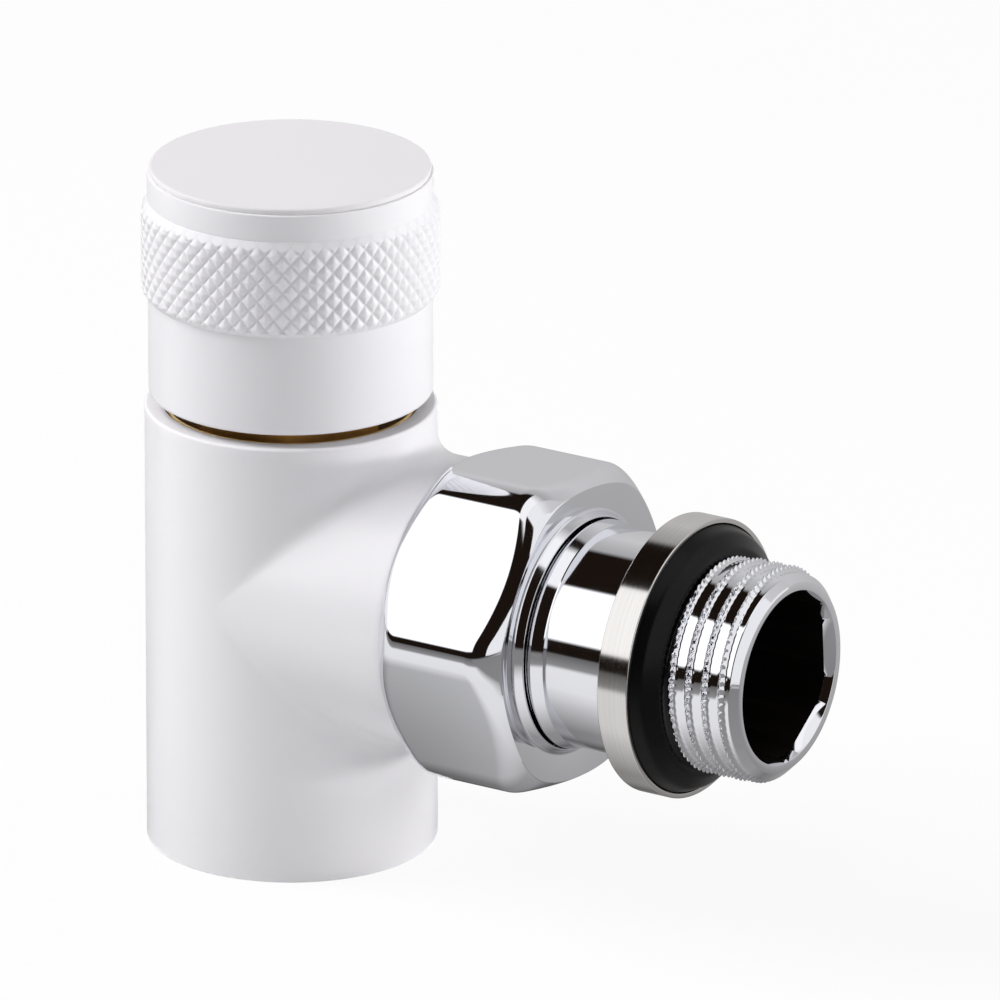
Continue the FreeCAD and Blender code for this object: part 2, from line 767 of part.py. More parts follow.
def make_bush():
    """Brass bush with the square hole, pressed into the knob's hub."""
    bush = turned("handle_insert", (
        ("0", SQUARE_FOOT),
        ("bush_radius - press_gap", SQUARE_FOOT),
        ("bush_radius - press_gap", HUB_TOP),
        ("0", HUB_TOP),
    ))
    hole = sketch_on(bush, "square_hole_outline", "XY_Plane", SQUARE_FOOT)
    rectangle(hole, "square_width/2 + square_gap", "square_width/2 + square_gap")
    pocket_up(bush, "square_hole", hole, HUB_TOP + minus(SQUARE_FOOT))
    return bush


def make_cap():
    """Thin round cap with a slotted clip ring that snaps into the knob's recess."""
    clip_outer = "recess_radius - cap_clip_gap"
    clip_inner = clip_outer + " - cap_clip_wall"
    clip_foot = KNOB_TOP + " - cap_clip_depth"
    cap = turned("handle_cap", (
        ("0", KNOB_TOP),
        (clip_inner, KNOB_TOP),
        (clip_inner, clip_foot),
        (clip_outer, clip_foot),
        (clip_outer, KNOB_TOP),
        ("cap_radius", KNOB_TOP),
        ("cap_radius", KNOB_TOP + " + cap_thickness - cap_edge"),
        ("cap_radius - cap_edge", KNOB_TOP + " + cap_thickness"),
        ("0", KNOB_TOP + " + cap_thickness"),
    ))
    outline_of_slot = sketch_on(cap, "clip_slot_outline", "XY_Plane", clip_foot)
    rectangle(outline_of_slot, "recess_radius", "cap_clip_slot/2")
    slot = pocket_up(cap, "clip_slot", outline_of_slot, "cap_clip_depth - cap_thickness")
    slots = cap.newObject("PartDesign::PolarPattern", "clip_slots")
    slots.Originals = [slot]
    slots.Axis = (origin_part(cap, "Z_Axis"), [""])
    slots.Angle = 90
    slots.Occurrences = 2
    cap.Tip = slots
    doc.recompute()
    return cap


def make_nut():
    """Hexagonal union nut: rounded corners, bevelled ends, dished front and a raised lip."""
    nut = new_body("union_nut")
    block = hexagon(nut, "AdditivePrism", "nut_block", "nut_flats", NUT_START, "nut_length")
    bind(block, "AttachmentOffset.Rotation.Angle", "nut_turn")
    doc.recompute()
    upright = []
    for number, edge in enumerate(block.Shape.Edges, start=1):
        if abs(edge.tangentAt(edge.FirstParameter).z) > 0.9:
            upright.append(f"Edge{number}")
    dress(nut, "Fillet", "nut_corners", block, upright, "nut_corner_round")
    face = "nut_flats/2 - nut_face_inset"
    beyond = "nut_flats"
    revolve(nut, "Groove", "rear_bevel", (
        (face, NUT_START),
        (beyond, NUT_START),
        (beyond, NUT_START + " + nut_rear_bevel"),
        (face + " + nut_rear_bevel", NUT_START + " + nut_rear_bevel"),
    ))
    lip = NUT_HOLE_RADIUS + " + nut_lip_land"
    front = NUT_END + " - nut_front_set_back"
    revolve(nut, "Groove", "front_bevel", (
        (lip, NUT_END),
        (lip + " + nut_lip_width", NUT_END + " - nut_dish_depth"),
        (face, front),
        (face + " + nut_front_bevel_depth", front + " - nut_front_bevel"),
        (beyond, front + " - nut_front_bevel"),
        (beyond, NUT_END),
    ))
    bore = SPIGOT_RADIUS + " + nut_bore_gap"
    revolve(nut, "Groove", "nut_bore", (
        ("0", NUT_START),
        (bore, NUT_START),
        (bore, FLANGE_END + " + running_gap"),
        (NUT_HOLE_RADIUS, FLANGE_END + " + running_gap"),
        (NUT_HOLE_RADIUS, NUT_END),
        ("0", NUT_END),
    ))
    along_outlet(nut)
    return nut


def make_tailpiece():
    """Tailpiece: nose with a ring groove, nut flange, flared neck, collar seat and thread."""
    nose = "socket_radius - nose_gap"
    groove_end = TAIL_GROOVE + " + tail_groove_width"
    core = turned("tail_core", (
        ("tail_bore_radius", SOCKET_START + " + nose_start_gap"),
        (nose, SOCKET_START + " + nose_start_gap"),
        (nose, TAIL_GROOVE),
        ("tail_groove_radius", TAIL_GROOVE),
        ("tail_groove_radius", groove_end),
        (nose, groove_end),
        (nose, SPIGOT_END + " - socket_mouth"),
        (nose + " + socket_mouth", SPIGOT_END),
        (FLANGE_RADIUS, SPIGOT_END),
        (FLANGE_RADIUS, FLANGE_END),
        (WAIST_RADIUS, FLANGE_END),
        (WAIST_RADIUS, WAIST_END),
        (TAIL_NECK_RADIUS, WAIST_END + " + flare_length"),
        (TAIL_NECK_RADIUS, SHOULDER),
        ("tail_thread_radius", SHOULDER),
        ("tail_thread_radius", RELIEF_START),
        ("tail_thread_radius - thread_relief_depth", RELIEF_START),
        ("tail_thread_radius - thread_relief_depth", THREAD_START),
        ("tail_thread_radius", THREAD_START),
        ("tail_thread_radius", TAIL_END + " - tail_bevel"),
        ("tail_thread_radius - tail_bevel", TAIL_END),
        (MOUTH_RADIUS, TAIL_END),
        (MOUTH_RADIUS + " - mouth_bevel", TAIL_END + " - mouth_bevel"),
        ("tail_bore_radius", TAIL_END + " - mouth_bevel"),
    ))
    along_outlet(core)
    tail = doc.addObject("Part::Cut", "tailpiece")
    tail.Label = "tailpiece"
    tail.Base = core
    tail.Tool = make_key_hole()
    return tail


def make_key_hole():
    """The hexagonal key hole, its corners cut round by the mouth's bore."""
    six_sided = doc.addObject("Part::Prism", "key_hexagon")
    six_sided.Polygon = 6
    across = formula("tail_thread_radius - key_wall")
    six_sided.setExpression("Circumradius", f"2 * ({across}) / sqrt(3)")
    round_bar = doc.addObject("Part::Cylinder", "key_round")
    bind(round_bar, "Radius", MOUTH_RADIUS + " - mouth_bevel")
    for bar in (six_sided, round_bar):
        along_outlet(bar, "key_turn")
        bind(bar, "Height", "key_depth + key_depth")
        bind(bar, "Placement.Base.x", TAIL_END + " - mouth_bevel - key_depth")
    key = doc.addObject("Part::Common", "key_hole")
    key.Base = six_sided
    key.Tool = round_bar
    return key


def make_seal_collar():
    """Turned ring against the tailpiece's shoulder, with a recess for the gasket ring."""
    bore = "tail_thread_radius + collar_fit_gap"
    collar = turned("sealing_collar", (
        (bore, SHOULDER),
        (SEAL_COLLAR_RADIUS + " - seal_collar_edge", SHOULDER),
        (SEAL_COLLAR_RADIUS, SHOULDER + " + seal_collar_edge"),
        (SEAL_COLLAR_RADIUS, COLLAR_FRONT + " - seal_collar_edge"),
        (SEAL_COLLAR_RADIUS + " - seal_collar_edge", COLLAR_FRONT),
        (RECESS_RADIUS, COLLAR_FRONT),
        (RECESS_RADIUS, COLLAR_FLOOR),
        (bore, COLLAR_FLOOR),
    ))
    along_outlet(collar)
    return collar


def make_all():
    """Every piece of the valve, from the body up the spindle and then along the outlet."""
    bonnet_seal = washer("bonnet_seal", "bonnet_bore_radius + rim_gap", "rim_bore_radius - rim_gap",
                         RIM_FLOOR, FLANGE_FLOOR)
    thrust_washer = washer("thrust_washer", "journal_radius + rim_gap", "thrust_bore_radius - guide_gap",
                           WASHER_UNDERSIDE, "body_height")
    lower_ring = seal_ring("stem_oring_lower", "ring_groove_radius",
                           "journal_radius + running_gap", LOWER_GROOVE)
    upper_ring = seal_ring("stem_oring_upper", "ring_groove_radius",
                           "journal_radius + running_gap", UPPER_GROOVE)
    seat_washer = washer("seat_washer", "screw_radius + guide_gap", "seat_washer_radius",
                         SEAT_WASHER_FOOT, SHUTTER_FOOT)
    knob_washer = washer("handle_screw_washer", "screw_radius + guide_gap", "knob_washer_radius",
                         HUB_TOP, HUB_TOP + " + knob_washer_height")
    washer_screw = make_screw("washer_screw", SEAT_WASHER_FOOT, "washer_screw_length", True)
    knob_screw = make_screw("handle_screw", HUB_TOP + " + knob_washer_height",
                            "knob_screw_length", False)
    tail_ring = seal_ring("tail_oring", "tail_groove_radius", "socket_radius",
                          TAIL_GROOVE, along_pipe=True)
    gasket = seal_ring("collar_oring", "tail_thread_radius", RECESS_RADIUS,
                       COLLAR_FLOOR, along_pipe=True)
    return [
        make_body(), make_bonnet(), bonnet_seal,
        make_stem(), thrust_washer, lower_ring, upper_ring, make_clip(),
        make_shutter(), seat_washer, washer_screw,
        make_handwheel(), make_bush(), knob_washer, knob_screw, make_cap(),
        make_nut(), make_tailpiece(), tail_ring, make_seal_collar(), gasket,
    ]


pieces = make_all()
doc.recompute()
for thing in doc.Objects:
    if "Invalid" in thing.State or "Error" in thing.State:
        raise RuntimeError(f"{thing.Label} did not build: {thing.State}")

os.makedirs("parts", exist_ok=True)
for piece in pieces:
    shape = piece.Shape
    if shape.isNull() or not shape.isValid():
        raise RuntimeError(f"{piece.Label} has no valid shape")
    shape.exportStep(f"parts/{piece.Label}.step")
    print(f"{piece.Label}: {shape.Volume:.1f} mm3, {len(shape.Faces)} faces")
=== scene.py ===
import math

import bmesh
import bpy
from bpy.props import FloatProperty, FloatVectorProperty, PointerProperty
from mathutils import Matrix, Vector


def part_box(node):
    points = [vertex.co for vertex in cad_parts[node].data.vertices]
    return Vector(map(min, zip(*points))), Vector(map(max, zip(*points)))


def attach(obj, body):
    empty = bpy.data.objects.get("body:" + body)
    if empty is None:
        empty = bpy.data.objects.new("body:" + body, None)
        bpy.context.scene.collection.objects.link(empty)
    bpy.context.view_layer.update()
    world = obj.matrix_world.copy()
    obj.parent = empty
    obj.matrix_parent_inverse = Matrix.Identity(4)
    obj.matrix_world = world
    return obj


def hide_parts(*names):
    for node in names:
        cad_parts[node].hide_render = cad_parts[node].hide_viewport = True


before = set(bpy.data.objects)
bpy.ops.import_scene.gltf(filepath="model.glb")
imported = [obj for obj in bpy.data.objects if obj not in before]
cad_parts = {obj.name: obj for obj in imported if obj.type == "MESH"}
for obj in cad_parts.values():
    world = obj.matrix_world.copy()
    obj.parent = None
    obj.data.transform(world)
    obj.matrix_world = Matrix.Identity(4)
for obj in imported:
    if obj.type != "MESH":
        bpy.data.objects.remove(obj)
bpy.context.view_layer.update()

bl_info = {
    "name": "Manual radiator valve",
    "version": (1, 0, 0),
    "blender": (4, 5, 0),
    "location": "View3D > Sidebar > Valve",
    "description": "Dresses the valve's frame with lacquer, chrome, knurl and thread",
    "category": "Add Mesh",
}

# Outlines and shapes are worked out in mm, and into_object turns them into metres. The spindle's
# axis is Z, and the outlet's axis runs along X at OUTLET_Z.
MM = 0.001
OUTLET_Z = 27.0
TURN = 2 * math.pi
RIM_ROUND = 0.3

BODY_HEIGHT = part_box("body")[1].z / MM
SPIGOT_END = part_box("body")[1].x / MM
KNOB_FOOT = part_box("handwheel")[0].z / MM
KNOB_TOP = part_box("handwheel")[1].z / MM
CAP_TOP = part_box("handle_cap")[1].z / MM
NUT_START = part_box("union_nut")[0].x / MM
NUT_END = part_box("union_nut")[1].x / MM
TAIL_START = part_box("tailpiece")[0].x / MM
TAIL_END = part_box("tailpiece")[1].x / MM
COLLAR_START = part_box("sealing_collar")[0].x / MM
COLLAR_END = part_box("sealing_collar")[1].x / MM


class ValveSizes(bpy.types.PropertyGroup):
    """Sizes that a maker of this valve would change."""

    body_radius: FloatProperty(
        name="Body radius", description="Outside radius of the tower and of the outlet boss",
        default=0.014, unit="LENGTH")
    boss_reach: FloatProperty(
        name="Boss reach", description="From the spindle's axis to the boss's end face",
        default=0.0192, unit="LENGTH")
    mitre_round: FloatProperty(
        name="Mitre rounding", description="Radius of the soft corner between tower and boss",
        default=0.0026, unit="LENGTH")
    knurl_radius: FloatProperty(
        name="Knurl radius", description="Radius over the tops of the diamonds",
        default=0.01425, unit="LENGTH")
    knurl_relief: FloatProperty(
        name="Knurl relief", description="How far the diamonds stand above their grooves",
        default=0.0003, unit="LENGTH")
    nut_flats: FloatProperty(
        name="Nut across flats", description="Spanner size of the union nut",
        default=0.030, unit="LENGTH")
    thread_radius: FloatProperty(
        name="Thread radius", description="Radius over the crests of the tail's thread",
        default=0.01048, unit="LENGTH")
    thread_pitch: FloatProperty(
        name="Thread pitch", description="From one crest of the pipe thread to the next",
        default=0.001814, unit="LENGTH")
    thread_depth: FloatProperty(
        name="Thread depth", description="From crest to the polished thread's wide flat root",
        default=0.0006, unit="LENGTH")


class ValveFinishes(bpy.types.PropertyGroup):
    """Colours and gloss of the visible finishes."""

    lacquer: FloatVectorProperty(
        name="Lacquer", description="Colour of the white lacquered body",
        default=(0.855, 0.843, 0.862), subtype="COLOR", size=3)
    knob: FloatVectorProperty(
        name="Knob", description="Colour of the knurled hand knob",
        default=(0.845, 0.834, 0.855), subtype="COLOR", size=3)
    cap: FloatVectorProperty(
        name="Cap", description="Colour of the round cap on the knob",
        default=(0.815, 0.796, 0.808), subtype="COLOR", size=3)
    chrome: FloatVectorProperty(
        name="Chrome", description="Reflection colour of the polished chrome",
        default=(0.795, 0.80, 0.84), subtype="COLOR", size=3)
    nickel: FloatVectorProperty(
        name="Nickel", description="Reflection colour of the turned sealing collar",
        default=(0.66, 0.645, 0.635), subtype="COLOR", size=3)
    rubber: FloatVectorProperty(
        name="Rubber", description="Colour of the gasket ring and the seals",
        default=(0.0025, 0.0022, 0.0022), subtype="COLOR", size=3)
    brass: FloatVectorProperty(
        name="Brass", description="Colour of the turned brass parts",
        default=(0.72, 0.50, 0.22), subtype="COLOR", size=3)


def sizes():
    """The sizes that the sidebar shows."""
    return bpy.context.scene.valve_sizes


def finishes():
    """The colours that the sidebar shows."""
    return bpy.context.scene.valve_finishes


# Shapes that every piece is made with


def blend_min(a, b, soft):
    """The smaller of two numbers, with a rounded change from one to the other."""
    share = max(0.0, 1.0 - abs(a - b) / soft)
    return min(a, b) - share * share * soft / 4


def rounded(corners):
    """An outline of (along, radius, rounding) corners in mm, its roundings turned into arcs."""
    arc_steps = 4
    points = []
    last = len(corners) - 1
    for number, (along, radius, rounding) in enumerate(corners):
        here = Vector((along, radius))
        if rounding <= 0 or number in (0, last):
            points.append(here)
            continue
        before = Vector(corners[number - 1][:2]) - here
        after = Vector(corners[number + 1][:2]) - here
        half = before.angle(after) / 2
        reach = min(rounding / math.tan(half), before.length * 0.49, after.length * 0.49)
        start = here + before.normalized() * reach
        end = here + after.normalized() * reach
        for step in range(arc_steps + 1):
            share = step / arc_steps
            points.append(start.lerp(here, share).lerp(here.lerp(end, share), share))
    return points


def divided(points, longest):
    """The same outline with points added so that no step is longer than the given length."""
    finer = [points[0]]
    for start, end in zip(points, points[1:]):
        pieces = max(1, math.ceil((end - start).length / longest - 1e-6))
        for step in range(1, pieces + 1):
            finer.append(start.lerp(end, step / pieces))
    return finer


def lathe(points, steps, shape=None, along_outlet=True, closed=True):
    """A bmesh turned from an outline in mm, about the outlet axis or about the spindle's axis.

    An eighth of the turn is spun and doubled three times, so steps is a multiple of 8. The optional
    shape says how far from the axis a point lies, from its angle, place and radius. The angle runs
    from +Z towards -Y about the outlet, and from +X towards +Y about the spindle.
    """
    bm = bmesh.new()
    centre = Vector((0, 0, OUTLET_Z)) if along_outlet else Vector((0, 0, 0))
    axis = Vector((1, 0, 0)) if along_outlet else Vector((0, 0, 1))
    out = Vector((0, 0, 1)) if along_outlet else Vector((1, 0, 0))
    verts = [bm.verts.new(centre + axis * p.x + out * p.y) for p in points]
    pairs = list(zip(verts, verts[1:]))
    if closed:
        pairs.append((verts[-1], verts[0]))
    edges = [bm.edges.new(pair) for pair in pairs]
    bmesh.ops.spin(bm, geom=verts + edges, cent=centre, axis=axis, dvec=(0, 0, 0), angle=TURN / 8,
                   steps=steps // 8, use_merge=False, use_normal_flip=False, use_duplicate=False)
    for eighths in (1, 2, 4):
        copy = bmesh.ops.duplicate(bm, geom=bm.verts[:] + bm.edges[:] + bm.faces[:])["geom"]
        bmesh.ops.rotate(bm, cent=centre, matrix=Matrix.Rotation(eighths * TURN / 8, 3, axis),
                         verts=[item for item in copy if isinstance(item, bmesh.types.BMVert)])
    bmesh.ops.remove_doubles(bm, verts=bm.verts, dist=1e-4)
    if shape:
        for vert in bm.verts:
            offset = vert.co - centre
            place = offset.dot(axis)
            arm = offset - axis * place
            radius = arm.length
            if radius < 1e-6:
                continue
            if along_outlet:
                angle = math.atan2(-arm.y, arm.z)
            else:
                angle = math.atan2(arm.y, arm.x)
            vert.co = centre + axis * place + arm * (shape(angle, place, radius) / radius)
    bmesh.ops.recalc_face_normals(bm, faces=bm.faces)
    return bm


def into_object(bm, name, sharp=None):
    """The finished bmesh, in metres, as an object at the origin."""
    bmesh.ops.scale(bm, vec=(MM, MM, MM), verts=bm.verts)
    for face in bm.faces:
        face.smooth = True
    if sharp is not None:
        for edge in bm.edges:
            if edge.is_manifold and edge.calc_face_angle() > sharp:
                edge.smooth = False
    mesh = bpy.data.meshes.new(name)
    bm.to_mesh(mesh)
    bm.free()
    obj = bpy.data.objects.new(name, mesh)
    bpy.context.scene.collection.objects.link(obj)
    return obj


def even_shading(obj):
    """Lets the large faces keep their own direction where small roundings meet them."""
    modifier = obj.modifiers.new("even_shading", "WEIGHTED_NORMAL")
    modifier.mode = "FACE_AREA"
    modifier.weight = 100
    modifier.keep_sharp = True


def cut(target, cutters):
    """Takes the cutters out of the target and removes them."""
    for cutter in cutters:
        modifier = target.modifiers.new("cut", "BOOLEAN")
        modifier.operation = "DIFFERENCE"
        modifier.solver = "EXACT"
        modifier.object = cutter
    bpy.context.view_layer.update()
    graph = bpy.context.evaluated_depsgraph_get()
    mesh = bpy.data.meshes.new_from_object(target.evaluated_get(graph))
    target.modifiers.clear()
    old = target.data
    target.data = mesh
    bpy.data.meshes.remove(old)
    mesh.name = target.name
    for cutter in cutters:
        data = cutter.data
        bpy.data.objects.remove(cutter)
        bpy.data.meshes.remove(data)


def set_sharp(obj, angle):
    """Marks the edges of a finished mesh that stay crisp."""
    bm = bmesh.new()
    bm.from_mesh(obj.data)
    bmesh.ops.remove_doubles(bm, verts=bm.verts, dist=1e-7)
    bmesh.ops.dissolve_degenerate(bm, edges=bm.edges, dist=1e-7)
    for face in bm.faces:
        face.smooth = True
    for edge in bm.edges:
        edge.smooth = not (edge.is_manifold and edge.calc_face_angle() > angle)
    bm.to_mesh(obj.data)
    bm.free()


def ripple(place, turns, pitch):
    """How near a point of a right-hand thread lies to the crest: 1 on it, 0 in the root."""
    crest_width, narrowing = 2.15, 6
    share = (place / pitch - turns) % 1.0
    return min(1.0, abs(share - 0.5) * crest_width) ** narrowing


def eased(share):
    """A share from 0 to 1 with a soft start and end."""
    return share * share * (3 - 2 * share)


# Finishes


class Finish:
    """A procedural material under construction, on the object's own coordinates."""

    def __init__(self, name):
        self.material = bpy.data.materials.new(name)
        self.material.use_nodes = True
        self.nodes = self.material.node_tree.nodes
        self.links = self.material.node_tree.links
        self.shader = self.nodes["Principled BSDF"]
        self.place = self.add("ShaderNodeTexCoord").outputs["Object"]

    def add(self, kind, **settings):
        """A new node with its settings."""
        node = self.nodes.new(kind)
        for key, value in settings.items():
            setattr(node, key, value)
        return node

    def join(self, output, socket):
        """Links two sockets."""
        self.links.new(output, socket)

    def set(self, **values):
        """Puts constants on the shader's own sockets, named with _ for a space."""
        for key, value in values.items():
            self.shader.inputs[key.replace("_", " ")].default_value = value

    def maths(self, operation, *values):
        """What a Math node makes of outputs and numbers."""
        node = self.add("ShaderNodeMath", operation=operation)
        for value, socket in zip(values, node.inputs):
            if isinstance(value, (int, float)):
                socket.default_value = value
            else:
                self.join(value, socket)
        return node.outputs[0]

    def stretched(self, scale):
        """The coordinates, scaled along each axis."""
        node = self.add("ShaderNodeMapping")
        self.join(self.place, node.inputs["Vector"])
        node.inputs["Scale"].default_value = scale
        return node.outputs["Vector"]

    def noise(self, scale, detail=3.0, roughness=0.55, vector=None):
        """An even noise from 0 to 1."""
        node = self.add("ShaderNodeTexNoise")
        node.inputs["Scale"].default_value = scale
        node.inputs["Detail"].default_value = detail
        node.inputs["Roughness"].default_value = roughness
        self.join(vector or self.place, node.inputs["Vector"])
        return node.outputs["Fac"]

    def ranged(self, value, low, high, start=0.0, end=1.0):
        """A value between start and end, turned into one between low and high."""
        node = self.add("ShaderNodeMapRange")
        node.inputs["From Min"].default_value = start
        node.inputs["From Max"].default_value = end
        node.inputs["To Min"].default_value = low
        node.inputs["To Max"].default_value = high
        self.join(value, node.inputs["Value"])
        return node.outputs["Result"]

    def ramp(self, value, stops):
        """Colours at places from 0 to 1."""
        node = self.add("ShaderNodeValToRGB")
        elements = node.color_ramp.elements
        while len(elements) < len(stops):
            elements.new(0.5)
        for element, (position, colour) in zip(elements, stops):
            element.position = position
            element.color = (*colour, 1)
        self.join(value, node.inputs["Fac"])
        return node.outputs["Color"]

    def tint(self, value, colour, spread):
        """The base colour, a little darker and lighter with a value."""
        low = [c * (1 - spread) for c in colour]
        high = [min(1.0, c * (1 + spread)) for c in colour]
        return self.ramp(value, ((0.3, low), (0.7, high)))

    def bump(self, height, strength, distance):
        """A normal, tilted by a height."""
        node = self.add("ShaderNodeBump")
        node.inputs["Strength"].default_value = strength
        node.inputs["Distance"].default_value = distance
        self.join(height, node.inputs["Height"])
        return node.outputs["Normal"]

    def done(self, colour, roughness=None, normal=None):
        """Joins what was made to the shader and gives the material."""
        made = {"Base Color": colour, "Roughness": roughness, "Normal": normal}
        for name, output in made.items():
            if output:
                self.join(output, self.shader.inputs[name])
        return self.material

    def show(self, surface):
        """Puts another shader's result on the surface and gives the material."""
        self.join(surface, self.nodes["Material Output"].inputs["Surface"])
        return self.material


def lacquer_finish(name, colour, gloss, groove=False):
    """Sprayed satin lacquer: nearly even colour, a fine orange-peel skin and a soft top coat.

    With groove, it paints shade where the mesh's own groove attribute is high: in the knurl's
    grooves.
    """
    finish = Finish(name)
    finish.set(Coat_Weight=0.25, Coat_Roughness=0.18, Specular_IOR_Level=0.45)
    cloud = finish.noise(60.0, 2.0)
    peel = finish.noise(1500.0, 2.0)
    shade = finish.tint(cloud, colour, 0.006)
    if groove:
        # Painted shade: the colour is darkened in the knurl's grooves, where the groove attribute
        # is high.
        depth = finish.add("ShaderNodeAttribute", attribute_name="groove")
        groove_shade = finish.ranged(depth.outputs["Fac"], 1.0, 0.93)
        mix = finish.add("ShaderNodeVectorMath", operation="SCALE")
        finish.join(shade, mix.inputs[0])
        finish.join(groove_shade, mix.inputs["Scale"])
        shade = mix.outputs["Vector"]
    rough = finish.ranged(finish.noise(240.0), gloss - 0.04, gloss + 0.04)
    return finish.done(shade, rough, finish.bump(peel, 0.12, 0.00002))


def chrome_finish(name, colour, gloss=0.045):
    """Polished chrome plating with a faint haze and hardly visible waviness."""
    finish = Finish(name)
    finish.set(Metallic=1.0)
    shade = finish.tint(finish.noise(90.0), colour, 0.012)
    rough = finish.ranged(finish.noise(420.0), gloss - 0.02, gloss + 0.025)
    wave = finish.noise(160.0, 1.0)
    return finish.done(shade, rough, finish.bump(wave, 0.05, 0.00006))


def turned_finish(name, colour, gloss):
    """Turned metal about the outlet axis: fine rings along the piece and across its end faces."""
    finish = Finish(name)
    finish.set(Metallic=1.0)
    parts = finish.add("ShaderNodeSeparateXYZ")
    centred = finish.add("ShaderNodeVectorMath", operation="SUBTRACT")
    finish.join(finish.place, centred.inputs[0])
    centred.inputs[1].default_value = (0, 0, OUTLET_Z * MM)
    finish.join(centred.outputs["Vector"], parts.inputs["Vector"])
    flat = finish.add("ShaderNodeCombineXYZ")
    finish.join(parts.outputs["Y"], flat.inputs["Y"])
    finish.join(parts.outputs["Z"], flat.inputs["Z"])
    radius = finish.add("ShaderNodeVectorMath", operation="LENGTH")
    finish.join(flat.outputs["Vector"], radius.inputs[0])
    along = finish.add("ShaderNodeCombineXYZ")
    finish.join(parts.outputs["X"], along.inputs["X"])
    finish.join(radius.outputs["Value"], along.inputs["Y"])
    rings = finish.noise(9000.0, 3.0, 0.6, along.outputs["Vector"])
    shade = finish.tint(rings, colour, 0.05)
    rough = finish.ranged(rings, gloss - 0.05, gloss + 0.06)
    return finish.done(shade, rough, finish.bump(rings, 0.16, 0.00002))


def spindle_turned_finish(name, colour, gloss):
    """Turned metal about the spindle's axis."""
    finish = Finish(name)
    finish.set(Metallic=1.0)
    rings = finish.noise(1.0, 3.0, 0.6, finish.stretched((30.0, 30.0, 6000.0)))
    shade = finish.tint(finish.noise(150.0), colour, 0.05)
    rough = finish.ranged(rings, gloss - 0.05, gloss + 0.07)
    return finish.done(shade, rough, finish.bump(rings, 0.15, 0.00002))


def rubber_finish(name, colour):
    """Black rubber with a dull sheen and a slightly uneven skin."""
    finish = Finish(name)
    finish.set(Specular_IOR_Level=0.16)
    shade = finish.tint(finish.noise(300.0), colour, 0.25)
    rough = finish.ranged(finish.noise(700.0), 0.24, 0.32)
    return finish.done(shade, rough, finish.bump(finish.noise(2600.0, 4.0), 0.15, 0.00002))


def fibre_finish(name, colour):
    """Pressed sealing fibre with short streaks."""
    finish = Finish(name)
    streaks = finish.noise(1.0, 4.0, 0.6, finish.stretched((900.0, 900.0, 3000.0)))
    shade = finish.tint(streaks, colour, 0.2)
    rough = finish.ranged(streaks, 0.55, 0.75)
    return finish.done(shade, rough, finish.bump(streaks, 0.3, 0.00003))


def dress(obj, material, body=None, stands_for=None):
    """Gives a piece its material and the body that it moves with."""
    obj.data.materials.clear()
    obj.data.materials.append(material)
    if body:
        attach(obj, body)
    if stands_for:
        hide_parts(stands_for)


def add_painted_bore_shade(obj, span, reach):
    """A second, near-black finish on the faces of the outlet's bore: painted shade inside the hole.
    """
    finish = Finish(obj.name + "_painted_bore_shade")
    finish.set(Metallic=0.6, Specular_IOR_Level=0.1)
    # Painted shade: the bore's faces are coloured near-black.
    shade = finish.tint(finish.noise(200.0), (0.008, 0.006, 0.005), 0.3)
    obj.data.materials.append(finish.done(shade, finish.ranged(finish.noise(500.0), 0.55, 0.7)))
    for face in obj.data.polygons:
        place, across, high = face.center / MM
        if span[0] < place < span[1] and math.hypot(across, high - OUTLET_Z) < reach:
            face.material_index = 1


# Body


def rim_points(turn, side, radius, height, steps):
    """Points of the tower's rounded rim at one angle, from its end face to its wall.

    Side is 1 for the upper rim and -1 for the lower one.
    """
    end = height if side > 0 else 0.0
    points = []
    for step in range(steps):
        bend = math.pi / 2 * step / steps
        out = radius - RIM_ROUND + RIM_ROUND * math.sin(bend)
        level = end - side * RIM_ROUND * (1 - math.cos(bend))
        points.append(Vector((out * math.cos(turn), out * math.sin(turn), level)))
    return points


def tee_column(turn, side, radius, reach, height, soft, counts):
    """Points of the body's skin at one angle, from a free rim over the rounded mitre to the boss.

    Side is 1 for the upper half and -1 for the lower one.
    """
    rim_steps, tower_steps, mitre_steps, boss_steps = counts
    edge, edge_steps = 0.35, 3
    wide = radius + soft
    cos, sin = math.cos(turn), math.sin(turn)
    points = rim_points(turn, side, radius, height, rim_steps)
    under_rim = height - RIM_ROUND if side > 0 else RIM_ROUND
    corner = OUTLET_Z + side * wide * cos
    for step in range(tower_steps):
        level = under_rim + (corner - under_rim) * step / tower_steps
        points.append(Vector((radius * cos, radius * sin, level)))
    centre = Vector((wide * cos, wide * sin, corner))
    from_tower = Vector((-soft * cos, -soft * sin, 0))
    from_boss = Vector((0, -soft * sin, -side * soft * cos))
    opening = math.acos(max(-1.0, min(1.0, sin * sin)))
    for step in range(mitre_steps):
        share = step / mitre_steps
        if opening < 1e-5:
            arm = from_tower
        else:
            arm = (from_tower * math.sin((1 - share) * opening)
                   + from_boss * math.sin(share * opening)) / math.sin(opening)
        points.append(centre + arm)
    start = wide * cos
    for step in range(boss_steps + 1):
        along = start + (reach - edge - start) * step / boss_steps
        points.append(Vector((along, radius * sin, OUTLET_Z + side * radius * cos)))
    for step in range(1, edge_steps + 1):
        bend = math.pi / 2 * step / edge_steps
        out = radius - edge + edge * math.cos(bend)
        along = reach - edge + edge * math.sin(bend)
        points.append(Vector((along, out * sin, OUTLET_Z + side * out * cos)))
    return points


